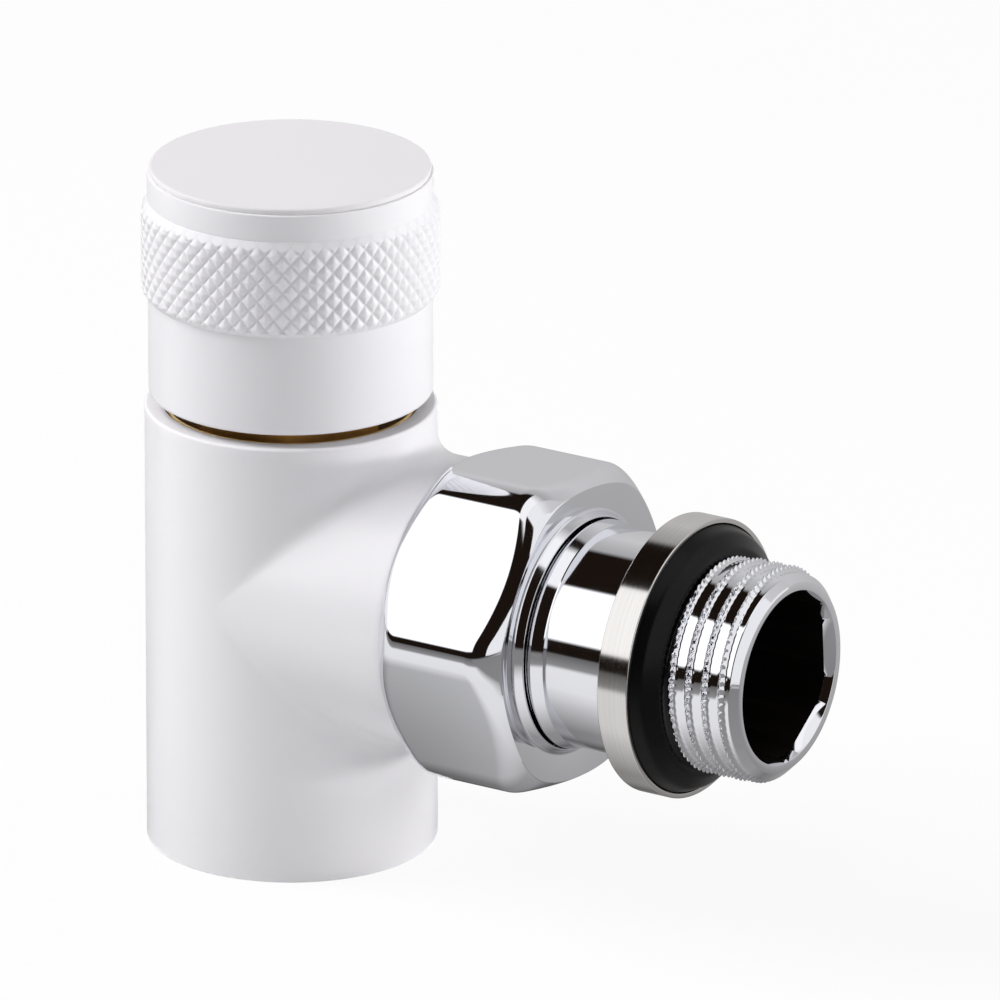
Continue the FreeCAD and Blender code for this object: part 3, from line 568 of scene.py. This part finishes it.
def back_column(turn, radius, height, counts):
    """Points of the tower's plain half at one angle, with the same levels as its two neighbours."""
    rim_steps, tower_steps = counts[:2]
    top, foot = height - RIM_ROUND, RIM_ROUND
    levels = [top + (OUTLET_Z - top) * step / tower_steps for step in range(tower_steps)]
    levels += [foot + (OUTLET_Z - foot) * step / tower_steps
               for step in range(tower_steps, -1, -1)]
    wall = [Vector((radius * math.cos(turn), radius * math.sin(turn), level)) for level in levels]
    upper = rim_points(turn, 1, radius, height, rim_steps)
    lower = rim_points(turn, -1, radius, height, rim_steps)
    return upper + wall + lower[::-1]


def wrap_grid(bm, columns):
    """A grid of quads, laid over columns of points."""
    across = len(columns) - 1
    down = len(columns[0]) - 1
    made = bmesh.ops.create_grid(bm, x_segments=across, y_segments=down, size=1.0)
    for vert in made["verts"]:
        column = round((vert.co.x + 1) / 2 * across)
        row = round((vert.co.y + 1) / 2 * down)
        vert.co = columns[column][row]


def body_skin(radius, reach, height, soft):
    """The closed outside of the body: tower, boss and spigot."""
    bm = bmesh.new()
    counts = (4, 26, 10, 22)
    quarter = 72
    boss_step = 0.45
    front = [math.pi * (step / quarter - 0.5) for step in range(quarter + 1)]
    back = [math.pi * (step / quarter + 0.5) for step in range(quarter + 1)]
    for side in (1, -1):
        wrap_grid(bm, [tee_column(t, side, radius, reach, height, soft, counts) for t in front])
    wrap_grid(bm, [back_column(t, radius, height, counts) for t in back])
    bmesh.ops.remove_doubles(bm, verts=bm.verts, dist=1e-3)
    bmesh.ops.dissolve_degenerate(bm, edges=bm.edges, dist=1e-4)
    rims = [edge for edge in bm.edges if edge.is_boundary]
    caps = bmesh.ops.holes_fill(bm, edges=rims, sides=0)["faces"]
    bmesh.ops.recalc_face_normals(bm, faces=bm.faces)
    boss_face = max(caps, key=lambda face: face.calc_center_median().x)
    bmesh.ops.inset_region(bm, faces=[boss_face], thickness=boss_step, use_even_offset=True)
    spigot = bmesh.ops.extrude_face_region(bm, geom=[boss_face])
    ends = [item for item in spigot["geom"] if isinstance(item, bmesh.types.BMVert)]
    bmesh.ops.translate(bm, vec=(SPIGOT_END - reach, 0, 0), verts=ends)
    bmesh.ops.delete(bm, geom=[boss_face], context="FACES")
    bmesh.ops.recalc_face_normals(bm, faces=bm.faces)
    return bm


def waterway_cutter(pitch, depth):
    """Everything bored from below and from above, with the inlet's own thread."""
    inlet, seat, lip, chamber, barrel, flange = 9.32, 6.0, 7.0, 10.0, 11.0, 12.3
    thread_end, run_out = 11.9, 1.2
    # The inlet's lead-in and wall, the seat's opening and raised lip, the chamber, the hole for the
    # bonnet's barrel and the recess for its flange.
    outline = [Vector(p) for p in (
        (-0.5, 0.0), (-0.5, inlet + 1.7), (0.0, inlet + 1.2), (1.2, inlet), (11.4, inlet),
        (12.0, inlet), (12.0, seat), (19.0, seat), (19.0, lip), (17.8, 7.6), (17.8, chamber),
        (34.0, chamber), (34.0, barrel), (41.2, barrel), (41.2, flange), (44.5, flange),
        (44.5, 0.0))]
    thread = divided(outline[2:5], 0.14)
    outline = outline[:2] + thread + outline[5:]

    def shape(angle, place, radius):
        """Cuts the thread, which runs out before the end of the hole."""
        if not 0.0 < place < thread_end or radius < inlet - 0.01:
            return radius
        fade = min(1.0, (thread_end - place) / run_out)
        groove = inlet + depth * fade * ripple(place, angle / TURN, pitch)
        return max(radius, groove)

    return lathe(outline, 304, shape, along_outlet=False, closed=False)


def outlet_cutter():
    """The outlet's passage: its bore, the tail's socket and the cone that seats the tail."""
    passage, socket = 6.8, 9.4
    outline = [Vector(p) for p in (
        (0.0, 0.0), (0.0, passage), (22.0, passage), (22.0, socket), (27.6, socket), (28.8, 10.6),
        (29.3, 11.1), (29.3, 0.0))]
    return lathe(outline, 128, closed=False)


class VALVE_OT_body(bpy.types.Operator):
    """Makes the white lacquered body with its soft mitre and its bored waterway"""

    bl_idname = "valve.body"
    bl_label = "Body"

    def execute(self, context):
        size = sizes()
        skin = body_skin(size.body_radius / MM, size.boss_reach / MM, BODY_HEIGHT,
                         size.mitre_round / MM)
        body = into_object(skin, "valve_shell")
        bores = waterway_cutter(size.thread_pitch / MM, size.thread_depth / MM)
        water = into_object(bores, "water")
        outlet = into_object(outlet_cutter(), "outlet")
        cut(body, [water, outlet])
        set_sharp(body, math.radians(32))
        even_shading(body)
        dress(body, lacquer_finish("satin_white_lacquer", finishes().lacquer, 0.34),
              "valve_body", "body")
        return {"FINISHED"}


# Knob and cap


def knurl_surface(radius, relief):
    """Makes the function that tells how far the diamond band reaches at an angle and a height.

    It also tells how near the point is to a diamond's tip: 0 in a groove, 1 on the tip.
    """
    diamonds = 54
    row_pitch = 1.86
    first_crossing = 55.95

    def reach(angle, place):
        across = angle / TURN * diamonds
        up = (place - first_crossing) / row_pitch
        one = abs((across + up) % 1.0 - 0.5) * 2
        other = abs((across - up) % 1.0 - 0.5) * 2
        near = min(1 - one, 1 - other)
        return radius - relief * (1 - min(1.0, near)) ** 2.0, near

    return reach


class VALVE_OT_knob(bpy.types.Operator):
    """Makes the white hand knob with its diamond knurl"""

    bl_idname = "valve.knob"
    bl_label = "Knurled knob"

    def execute(self, context):
        size = sizes()
        band = size.knurl_radius / MM
        skirt, neck = 13.6, 13.65
        foot, shoulder = 55.05, 64.69
        foot_slope, shoulder_slope, soft = 0.86, 0.50, 0.05
        room, hub, bush, hollow = 11.8, 7.0, 5.0, 12.0
        # The skirt and the band outside, the rim, the room for the cap's clip, the hub round its
        # bush and the hollow foot.
        outline = rounded((
            (KNOB_FOOT, hollow, 0), (KNOB_FOOT, 12.3, 0), (KNOB_FOOT, skirt, 0.5),
            (foot, skirt, 0),
        )) + divided([Vector((foot + 0.02, skirt + 0.02)), Vector((shoulder, skirt + 0.02))], 0.1)
        outline += rounded((
            (shoulder + 0.01, neck, 0), (KNOB_TOP, neck, 0.18), (KNOB_TOP, room, 0),
            (59.5, room, 0), (59.5, hub, 0), (60.4, hub, 0), (60.4, bush, 0), (54.2, bush, 0),
            (54.2, hub, 0), (56.0, hub, 0), (56.0, hollow, 0),
        ))
        reach = knurl_surface(band, size.knurl_relief / MM)

        def shape(angle, place, radius):
            """Raises the diamonds between the band's two slopes."""
            if radius < skirt or not foot < place < shoulder:
                return radius
            level = reach(angle, place)[0]
            lower = skirt + (place - foot) * foot_slope
            upper = neck + (shoulder - place) * shoulder_slope
            level = blend_min(level, lower, soft)
            return max(blend_min(level, upper, soft), skirt)

        bm = lathe(outline, 648, shape, along_outlet=False)
        # The groove attribute is high in the knurl's grooves, where the knob's lacquer paints
        # shade.
        groove_shade_layer = bm.verts.layers.float.new("groove")
        for vert in bm.verts:
            radius = math.hypot(vert.co.x, vert.co.y)
            if radius > skirt + 0.05 and foot < vert.co.z < shoulder:
                near = reach(math.atan2(vert.co.y, vert.co.x), vert.co.z)[1]
                vert[groove_shade_layer] = max(0.0, 1 - near * 4)
        knob = into_object(bm, "knurled_knob", math.radians(50))
        even_shading(knob)
        # The knob's lacquer paints shade into the knurl's grooves.
        dress(knob, lacquer_finish("satin_white_knob", finishes().knob, 0.36, groove=True),
              "knob", "handwheel")
        return {"FINISHED"}


class VALVE_OT_cap(bpy.types.Operator):
    """Makes the thin round cap with its clip ring"""

    bl_idname = "valve.cap"
    bl_label = "Cap"

    def execute(self, context):
        edge = 13.42
        clip_outside, clip_inside = 11.7, 10.7
        foot = KNOB_TOP
        clip_end = foot - 3.3
        outline = rounded((
            (CAP_TOP, 0.0, 0), (CAP_TOP, edge, 0.28), (foot, edge, 0.08), (foot, clip_outside, 0),
            (clip_end, clip_outside, 0.1), (clip_end, clip_inside, 0.1), (foot, clip_inside, 0),
            (foot, 0.0, 0),
        ))
        cap = into_object(lathe(outline, 256, along_outlet=False, closed=False), "round_cap",
                          math.radians(40))
        even_shading(cap)
        dress(cap, lacquer_finish("satin_cap", finishes().cap, 0.40), "knob",
              "handle_cap")
        return {"FINISHED"}


# Union nut


def hexagon_reach(angle, flats, corner, turn):
    """Distance from the axis to a hexagon with rounded corners, at an angle."""
    apothem = flats / 2
    step = math.pi / 3
    off = (angle - turn + step / 2) % step - step / 2
    beside = step / 2 - abs(off)
    straight = apothem / math.cos(beside)
    centre = (apothem - corner) / math.cos(math.pi / 6)
    across = centre * math.sin(abs(off))
    if across < corner:
        round_reach = centre * math.cos(off) + math.sqrt(corner * corner - across * across)
        touch = (apothem - corner) * math.tan(math.pi / 6)
        if apothem * math.tan(beside) > touch:
            return round_reach
    return straight


class VALVE_OT_nut(bpy.types.Operator):
    """Makes the chromed union nut with polished, softened corners"""

    bl_idname = "valve.nut"
    bl_label = "Union nut"

    def execute(self, context):
        size = sizes()
        flats = size.nut_flats / MM
        face = flats / 2 - 0.1
        front = NUT_END - 0.25
        bore, hole, floor = 13.26, 11.2, 30.85
        rim = flats / 2 + 4.4
        front_slope = 0.76
        corner, turned = 4.5, math.radians(24)
        back_soft, front_soft = 0.8, 2.6
        side = divided([Vector((NUT_START, face)), Vector((NUT_START + rim - face, rim)),
                        Vector((front - front_slope * (rim - face), rim)), Vector((front, face))],
                       0.2)
        outline = rounded((
            (NUT_START, bore, 0), (NUT_START, face - 0.4, 0))) + side + rounded((
                (front, face - 0.1, 0), (NUT_END - 0.95, 11.8, 0.3), (NUT_END, 11.36, 0.1),
                (NUT_END, hole, 0.08), (floor, hole, 0), (floor, bore, 0)))

        def shape(angle, place, radius):
            """Cuts the flats, with edges that get softer from the body's side to the front."""
            if radius < face - 0.3:
                return radius
            share = eased((place - NUT_START) / (NUT_END - NUT_START))
            soft = back_soft + (front_soft - back_soft) * share
            return blend_min(radius, hexagon_reach(angle, flats, corner, turned), soft)

        nut = into_object(lathe(outline, 720, shape), "chromed_nut", math.radians(50))
        chrome = chrome_finish("polished_chrome", finishes().chrome)
        dress(nut, chrome, "nut", "union_nut")
        return {"FINISHED"}


# Tailpiece, sealing collar and inner parts


class VALVE_OT_tail(bpy.types.Operator):
    """Makes the chromed tailpiece: nose, flared neck, serrated thread and hexagonal mouth"""

    bl_idname = "valve.tail"
    bl_label = "Tailpiece"

    def execute(self, context):
        size = sizes()
        chrome = chrome_finish("polished_chrome_tail", finishes().chrome, 0.05)
        crest = size.thread_radius / MM
        pitch = size.thread_pitch / MM
        depth = size.thread_depth / MM
        split = 45.4
        bore, nose, groove, clamped, stem = 7.4, 9.35, 8.15, 12.7, 10.7
        # The nose with its seal's groove, the cone, the shoulder that the nut clamps, the neck with
        # a bead beside the nut, and the seat of the sealing collar.
        neck = rounded((
            (TAIL_START, bore, 0), (TAIL_START, nose, 0.3), (24.6, nose, 0), (24.6, groove, 0),
            (26.2, groove, 0), (26.2, nose, 0), (27.6, nose, 0), (28.8, 10.55, 0),
            (28.8, clamped, 0.1), (30.8, clamped, 0.2), (30.8, 11.0, 0.2), (33.6, 11.0, 0.05),
            (33.95, 11.12, 0.08), (34.1, 11.12, 0.05), (35.15, stem, 0.5),
            (COLLAR_START, stem, 0.1), (COLLAR_START, crest, 0), (split, crest, 0),
            (split, bore, 0)))
        neck_piece = into_object(lathe(neck, 256), "tail_neck", math.radians(40))
        even_shading(neck_piece)
        dress(neck_piece, chrome, "valve_body", "tailpiece")

        land, mouth, bevel = 8.42, 8.06, 0.85
        chamfer_end = 9.2
        root = 9.3
        relief_start, relief_end = 46.4, 48.2
        outline = [Vector((split, 7.5)), Vector((split, crest)), Vector((relief_start, crest)),
                   Vector((relief_start, root)), Vector((relief_end, root))]
        outline += divided([Vector((relief_end + 0.01, crest)), Vector((TAIL_END - 0.02, crest))],
                           0.075)
        outline += rounded((
            (TAIL_END, chamfer_end, 0), (TAIL_END, land, 0.06), (TAIL_END - bevel, mouth, 0.04),
            (split + 0.1, mouth, 0)))
        key, key_turn = 15.0, math.radians(4)
        crest_place = 54.1
        teeth, tooth_depth = 80, 0.2

        def shape(angle, place, radius):
            """Cuts the key's hexagon inside, and the serrated thread with its chamfer outside."""
            if radius < land - 0.05:
                if place > TAIL_END - bevel + 0.02:
                    return radius
                return min(radius, hexagon_reach(angle, key, 0.05, key_turn))
            if radius < crest - 0.01 or place <= relief_end:
                return radius
            near = ripple(place - crest_place, angle / TURN, pitch)
            fade = eased(min(1.0, max(0.0, (place - relief_end) / 0.6)))
            level = crest - depth * (1 - fade * near)
            notch = (0.5 - 0.5 * math.cos(angle * teeth)) ** 1.2
            level -= tooth_depth * fade * notch * near
            cone = chamfer_end + (TAIL_END - place)
            return blend_min(level, cone, 0.08)

        thread = into_object(lathe(outline, 10 * teeth, shape), "tail_thread", math.radians(60))
        dress(thread, chrome, "valve_body")
        # Painted shade in the bores of the thread and of the neck.
        add_painted_bore_shade(thread, (SPIGOT_END, TAIL_END - bevel - 0.1), mouth + 0.02)
        add_painted_bore_shade(neck_piece, (TAIL_START, split), bore + 0.1)
        return {"FINISHED"}


class VALVE_OT_collar(bpy.types.Operator):
    """Makes the turned sealing collar and its black gasket ring"""

    bl_idname = "valve.collar"
    bl_label = "Sealing collar"

    def execute(self, context):
        edge, lip, seat = 13.5, 13.0, 10.53
        floor = COLLAR_START + 1.15
        outline = rounded((
            (COLLAR_START, seat, 0), (COLLAR_START, edge, 0.14), (COLLAR_END, edge, 0.12),
            (COLLAR_END, lip, 0.1), (floor, lip, 0), (floor, seat, 0),
        ))
        collar = into_object(lathe(outline, 320), "collar_ring", math.radians(40))
        even_shading(collar)
        dress(collar, turned_finish("turned_nickel", finishes().nickel, 0.10),
              "valve_body", "sealing_collar")

        outside, inside, groove = 12.95, 10.5, 9.4
        top, step = COLLAR_END + 2.15, floor + 2.3
        bulge = rounded((
            (floor, inside, 0), (floor, outside, 0), (COLLAR_END - 0.1, outside, 0.3),
            (COLLAR_END + 1.1, 12.4, 1.2), (top, 10.9, 0.9), (top, groove, 0),
            (step, groove, 0), (step, inside, 0)))
        gasket = into_object(lathe(divided(bulge, 0.3), 320), "gasket_ring", math.radians(50))
        dress(gasket, rubber_finish("black_rubber", finishes().rubber), "valve_body",
              "collar_oring")
        return {"FINISHED"}


class VALVE_OT_inner_parts(bpy.types.Operator):
    """Gives the turned, pressed and rubber parts inside the valve their finishes"""

    bl_idname = "valve.inner_parts"
    bl_label = "Inner parts"

    def execute(self, context):
        colour = finishes()
        brass = spindle_turned_finish("turned_brass", colour.brass, 0.24)
        steel = spindle_turned_finish("plain_steel", (0.62, 0.62, 0.63), 0.28)
        fibre = fibre_finish("pressed_fibre", (0.30, 0.13, 0.07))
        seal = rubber_finish("seal_rubber", colour.rubber)
        groups = (
            (brass, "brass", ("bonnet", "stem", "shutter", "handle_insert")),
            (steel, "steel",
             ("stem_circlip", "washer_screw", "handle_screw", "handle_screw_washer")),
            (fibre, "fibre", ("bonnet_seal", "thrust_washer")),
            (seal, "rubber", ("stem_oring_lower", "stem_oring_upper", "seat_washer", "tail_oring")),
        )
        for material, slot, names in groups:
            for name in names:
                dress(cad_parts[name], material)
        return {"FINISHED"}


# Studio


def plane(name, corner, across, up, material):
    """A flat stage panel from one corner and two sides, in metres."""
    bm = bmesh.new()
    start, across, up = Vector(corner), Vector(across), Vector(up)
    corners = (start, start + across, start + across + up, start + up)
    bm.faces.new([bm.verts.new(point) for point in corners])
    mesh = bpy.data.meshes.new(name)
    bm.to_mesh(mesh)
    bm.free()
    obj = bpy.data.objects.new(name, mesh)
    bpy.context.scene.collection.objects.link(obj)
    obj.data.materials.append(material)
    return obj


def seen_share(nodes, links):
    """1 for the rays that show a background: camera, glossy and transmission rays."""
    path = nodes.new("ShaderNodeLightPath")
    share = path.outputs["Is Camera Ray"]
    for kind in ("Is Glossy Ray", "Is Transmission Ray"):
        larger = nodes.new("ShaderNodeMath")
        larger.operation = "MAXIMUM"
        links.new(share, larger.inputs[0])
        links.new(path.outputs[kind], larger.inputs[1])
        share = larger.outputs[0]
    return share


def studio_world():
    """White for the camera and in reflections, a softer level of light on the object."""
    world = bpy.data.worlds.new("studio")
    bpy.context.scene.world = world
    world.use_nodes = True
    nodes, links = world.node_tree.nodes, world.node_tree.links
    soft = nodes["Background"]
    soft.inputs["Color"].default_value = (0.88, 0.89, 1.0, 1)
    soft.inputs["Strength"].default_value = 0.13
    white = nodes.new("ShaderNodeBackground")
    white.inputs["Color"].default_value = (1, 1, 1, 1)
    mix = nodes.new("ShaderNodeMixShader")
    links.new(seen_share(nodes, links), mix.inputs[0])
    links.new(soft.outputs[0], mix.inputs[1])
    links.new(white.outputs[0], mix.inputs[2])
    links.new(mix.outputs[0], nodes["World Output"].inputs["Surface"])


def floor_material():
    """A pale floor that stays white for the camera and keeps the soft shadow."""
    finish = Finish("pale_floor")
    finish.set(Roughness=0.8, Specular_IOR_Level=0.1)
    finish.done(finish.tint(finish.noise(8.0), (0.82, 0.82, 0.82), 0.01))
    glow = finish.add("ShaderNodeEmission")
    glow.inputs["Color"].default_value = (1, 1, 1, 1)
    share = finish.maths("MULTIPLY", seen_share(finish.nodes, finish.links), 0.92)
    mix = finish.add("ShaderNodeMixShader")
    finish.join(share, mix.inputs[0])
    finish.join(finish.shader.outputs[0], mix.inputs[1])
    finish.join(glow.outputs[0], mix.inputs[2])
    return finish.show(mix.outputs[0])


# Brightness that polished metal sees round the outlet axis, by the angle in degrees from -Y up
# towards +Z: beside the valve, then from FRONT_PLACE and from FAR_PLACE on, in metres along X.
SIDE_LEVELS = (
    (-180, 0.55), (-125, 0.3), (-107, 0.17), (-90, 0.4), (-77, 0.4), (-43, 0.88), (-17, 0.93),
    (-14, 0.3), (-4, 0.14), (-3, 0.0), (9, 0.0), (11, 1.35), (66, 1.35), (68, 0.0), (113, 0.0),
    (118, 0.45), (145, 0.67), (180, 0.55),
)
FRONT_LEVELS = (
    (-180, 0.55), (-125, 0.3), (-60, 0.3), (-5, 0.25), (-3, 0.0), (58, 0.0), (61, 1.1),
    (105, 1.1), (120, 0.45), (145, 0.67), (180, 0.55),
)
FRONT_PLACE = 0.05
FAR_LEVELS = (
    (-180, 0.55), (-125, 0.35), (-90, 0.4), (-40, 0.8), (-10, 0.8), (-3, 0.0), (74, 0.0),
    (77, 1.0), (105, 1.0), (120, 0.7), (180, 0.55),
)
FAR_PLACE = 0.30
CLOTH_TINT = (0.012, 0.0075, 0.0055)


def tent_material(name, shaded=False):
    """Bands of white, grey and near-black cloth, by the angle round the outlet axis.

    The shaded one darkens towards the spindle's axis, as the ground does near the valve.
    """
    finish = Finish(name)
    parts = finish.add("ShaderNodeSeparateXYZ")
    finish.join(finish.place, parts.inputs["Vector"])
    front = finish.maths("MULTIPLY", parts.outputs["Y"], -1)
    high = finish.maths("SUBTRACT", parts.outputs["Z"], OUTLET_Z * MM)
    angle = finish.maths("ARCTAN2", high, front)
    share = finish.ranged(angle, 0.0, 1.0, -math.pi, math.pi)
    side, front_side, far_side = (
        finish.ramp(share, [((degrees + 180) / 360, [level + warm for warm in CLOTH_TINT])
                            for degrees, level in levels])
        for levels in (SIDE_LEVELS, FRONT_LEVELS, FAR_LEVELS))
    # A colour Mix node's factor, two colours and result are inputs 0, 6 and 7 and output 2.
    for start, beyond in ((FRONT_PLACE, front_side), (FAR_PLACE, far_side)):
        mixed = finish.add("ShaderNodeMix", data_type="RGBA")
        passed = finish.ranged(parts.outputs["X"], 0.0, 1.0, start, start + 0.02)
        finish.join(passed, mixed.inputs[0])
        finish.join(side, mixed.inputs[6])
        finish.join(beyond, mixed.inputs[7])
        side = mixed.outputs[2]
    glow = finish.add("ShaderNodeEmission")
    finish.join(side, glow.inputs["Color"])
    if shaded:
        reach = finish.add("ShaderNodeVectorMath", operation="LENGTH")
        finish.join(finish.place, reach.inputs[0])
        dimmed = finish.ranged(reach.outputs["Value"], 0.28, 1.0, 0.012, 0.042)
        finish.join(dimmed, glow.inputs["Strength"])
    return finish.show(glow.outputs[0])


def tent():
    """A round tent about the outlet axis and its floor, which only polished surfaces see."""
    outline = [Vector((-1500.0, 700.0)), Vector((600.0, 700.0))]
    sides = into_object(lathe(outline, 96, closed=False), "studio_tent")
    sides.data.materials.append(tent_material("studio_tent"))
    ground = plane("studio_tent_floor", (-1.5, -0.7, 0.0004), (2.1, 0, 0), (0, 1.4, 0),
                   tent_material("studio_tent_floor", shaded=True))
    for obj in (sides, ground):
        obj.visible_camera = False
        obj.visible_diffuse = False
        obj.visible_shadow = False
        obj.visible_transmission = False
        obj.visible_volume_scatter = False


def softbox(name, place, aim, width, height, power):
    """A soft rectangular lamp that looks at a point of the object."""
    lamp = bpy.data.lights.new(name, "AREA")
    lamp.shape = "RECTANGLE"
    lamp.size = width
    lamp.size_y = height
    lamp.energy = power
    obj = bpy.data.objects.new(name, lamp)
    bpy.context.scene.collection.objects.link(obj)
    obj.location = place
    obj.rotation_mode = "QUATERNION"
    obj.rotation_quaternion = (Vector(aim) - Vector(place)).to_track_quat("-Z", "Y")
    obj.visible_glossy = False
    obj.visible_camera = False


def studio_camera():
    """The photograph's camera: a long lens from the front right, a little above."""
    azimuth, elevation, roll = 0.566023, 0.346489, 0.000949
    distance, rightwards, upwards = 1697, 7.314, 3.608
    back = Vector((math.sin(azimuth) * math.cos(elevation),
                   -math.cos(azimuth) * math.cos(elevation), math.sin(elevation)))
    right = Vector((math.cos(azimuth), math.sin(azimuth), 0))
    up = back.cross(right)
    right_turned = math.cos(roll) * right + math.sin(roll) * up
    up_turned = math.cos(roll) * up - math.sin(roll) * right
    target = Vector((15, 0, 33))
    data = bpy.data.cameras.new("camera")
    data.sensor_width = 36.0
    data.lens = 641.2
    data.clip_start = 0.05
    data.clip_end = 20
    camera = bpy.data.objects.new("camera", data)
    bpy.context.scene.collection.objects.link(camera)
    place = target + back * distance + right_turned * rightwards + up_turned * upwards
    turn = Matrix((right_turned, up_turned, back)).transposed().to_4x4()
    camera.matrix_world = Matrix.Translation(place * MM) @ turn
    bpy.context.scene.camera = camera


class VALVE_OT_studio(bpy.types.Operator):
    """Sets up the pale floor, the soft lamps, the reflected tent and the camera"""

    bl_idname = "valve.studio"
    bl_label = "Studio"

    def execute(self, context):
        studio_world()
        plane("floor", (-3, -3, 0), (6, 0, 0), (0, 6, 0), floor_material())
        tent()
        aim = (0.01, 0, 0.035)
        softbox("lamp_left", (-0.60, -0.30, 0.70), aim, 0.45, 0.6, 8.8)
        softbox("lamp_right", (0.72, 0.48, 0.42), aim, 0.45, 0.4, 3.4)
        softbox("lamp_low", (0.79, 0.53, 0.045), aim, 0.5, 0.08, 4.7)
        softbox("lamp_top", (0.40, -0.45, 0.75), aim, 0.5, 0.4, 1.3)
        softbox("lamp_front", (0.43, -0.85, 0.12), aim, 0.45, 0.2, 0.4)
        bpy.context.scene.view_settings.view_transform = "Standard"
        studio_camera()
        return {"FINISHED"}


class VALVE_PT_panel(bpy.types.Panel):
    """Lists the steps that dress the valve"""

    bl_idname = "VALVE_PT_panel"
    bl_label = "Radiator valve"
    bl_space_type = "VIEW_3D"
    bl_region_type = "UI"
    bl_category = "Valve"

    def draw(self, context):
        layout = self.layout
        for group in (context.scene.valve_sizes, context.scene.valve_finishes):
            column = layout.column(align=True)
            for name in group.__annotations__:
                column.prop(group, name)
        for step in STEPS:
            layout.operator(step.bl_idname)


STEPS = (
    VALVE_OT_body, VALVE_OT_knob, VALVE_OT_cap, VALVE_OT_nut, VALVE_OT_tail, VALVE_OT_collar,
    VALVE_OT_inner_parts, VALVE_OT_studio,
)
CLASSES = (ValveSizes, ValveFinishes) + STEPS + (VALVE_PT_panel,)


def register():
    """Makes the classes and the two groups of settings known."""
    for cls in CLASSES:
        bpy.utils.register_class(cls)
    bpy.types.Scene.valve_sizes = PointerProperty(type=ValveSizes)
    bpy.types.Scene.valve_finishes = PointerProperty(type=ValveFinishes)


def unregister():
    """Takes them back."""
    del bpy.types.Scene.valve_finishes
    del bpy.types.Scene.valve_sizes
    for cls in reversed(CLASSES):
        bpy.utils.unregister_class(cls)


def main():
    """Builds every piece and the studio."""
    register()
    bpy.ops.valve.body()
    bpy.ops.valve.knob()
    bpy.ops.valve.cap()
    bpy.ops.valve.nut()
    bpy.ops.valve.tail()
    bpy.ops.valve.collar()
    bpy.ops.valve.inner_parts()
    bpy.ops.valve.studio()
    bpy.context.view_layer.update()


if __name__ == "__main__":
    main()
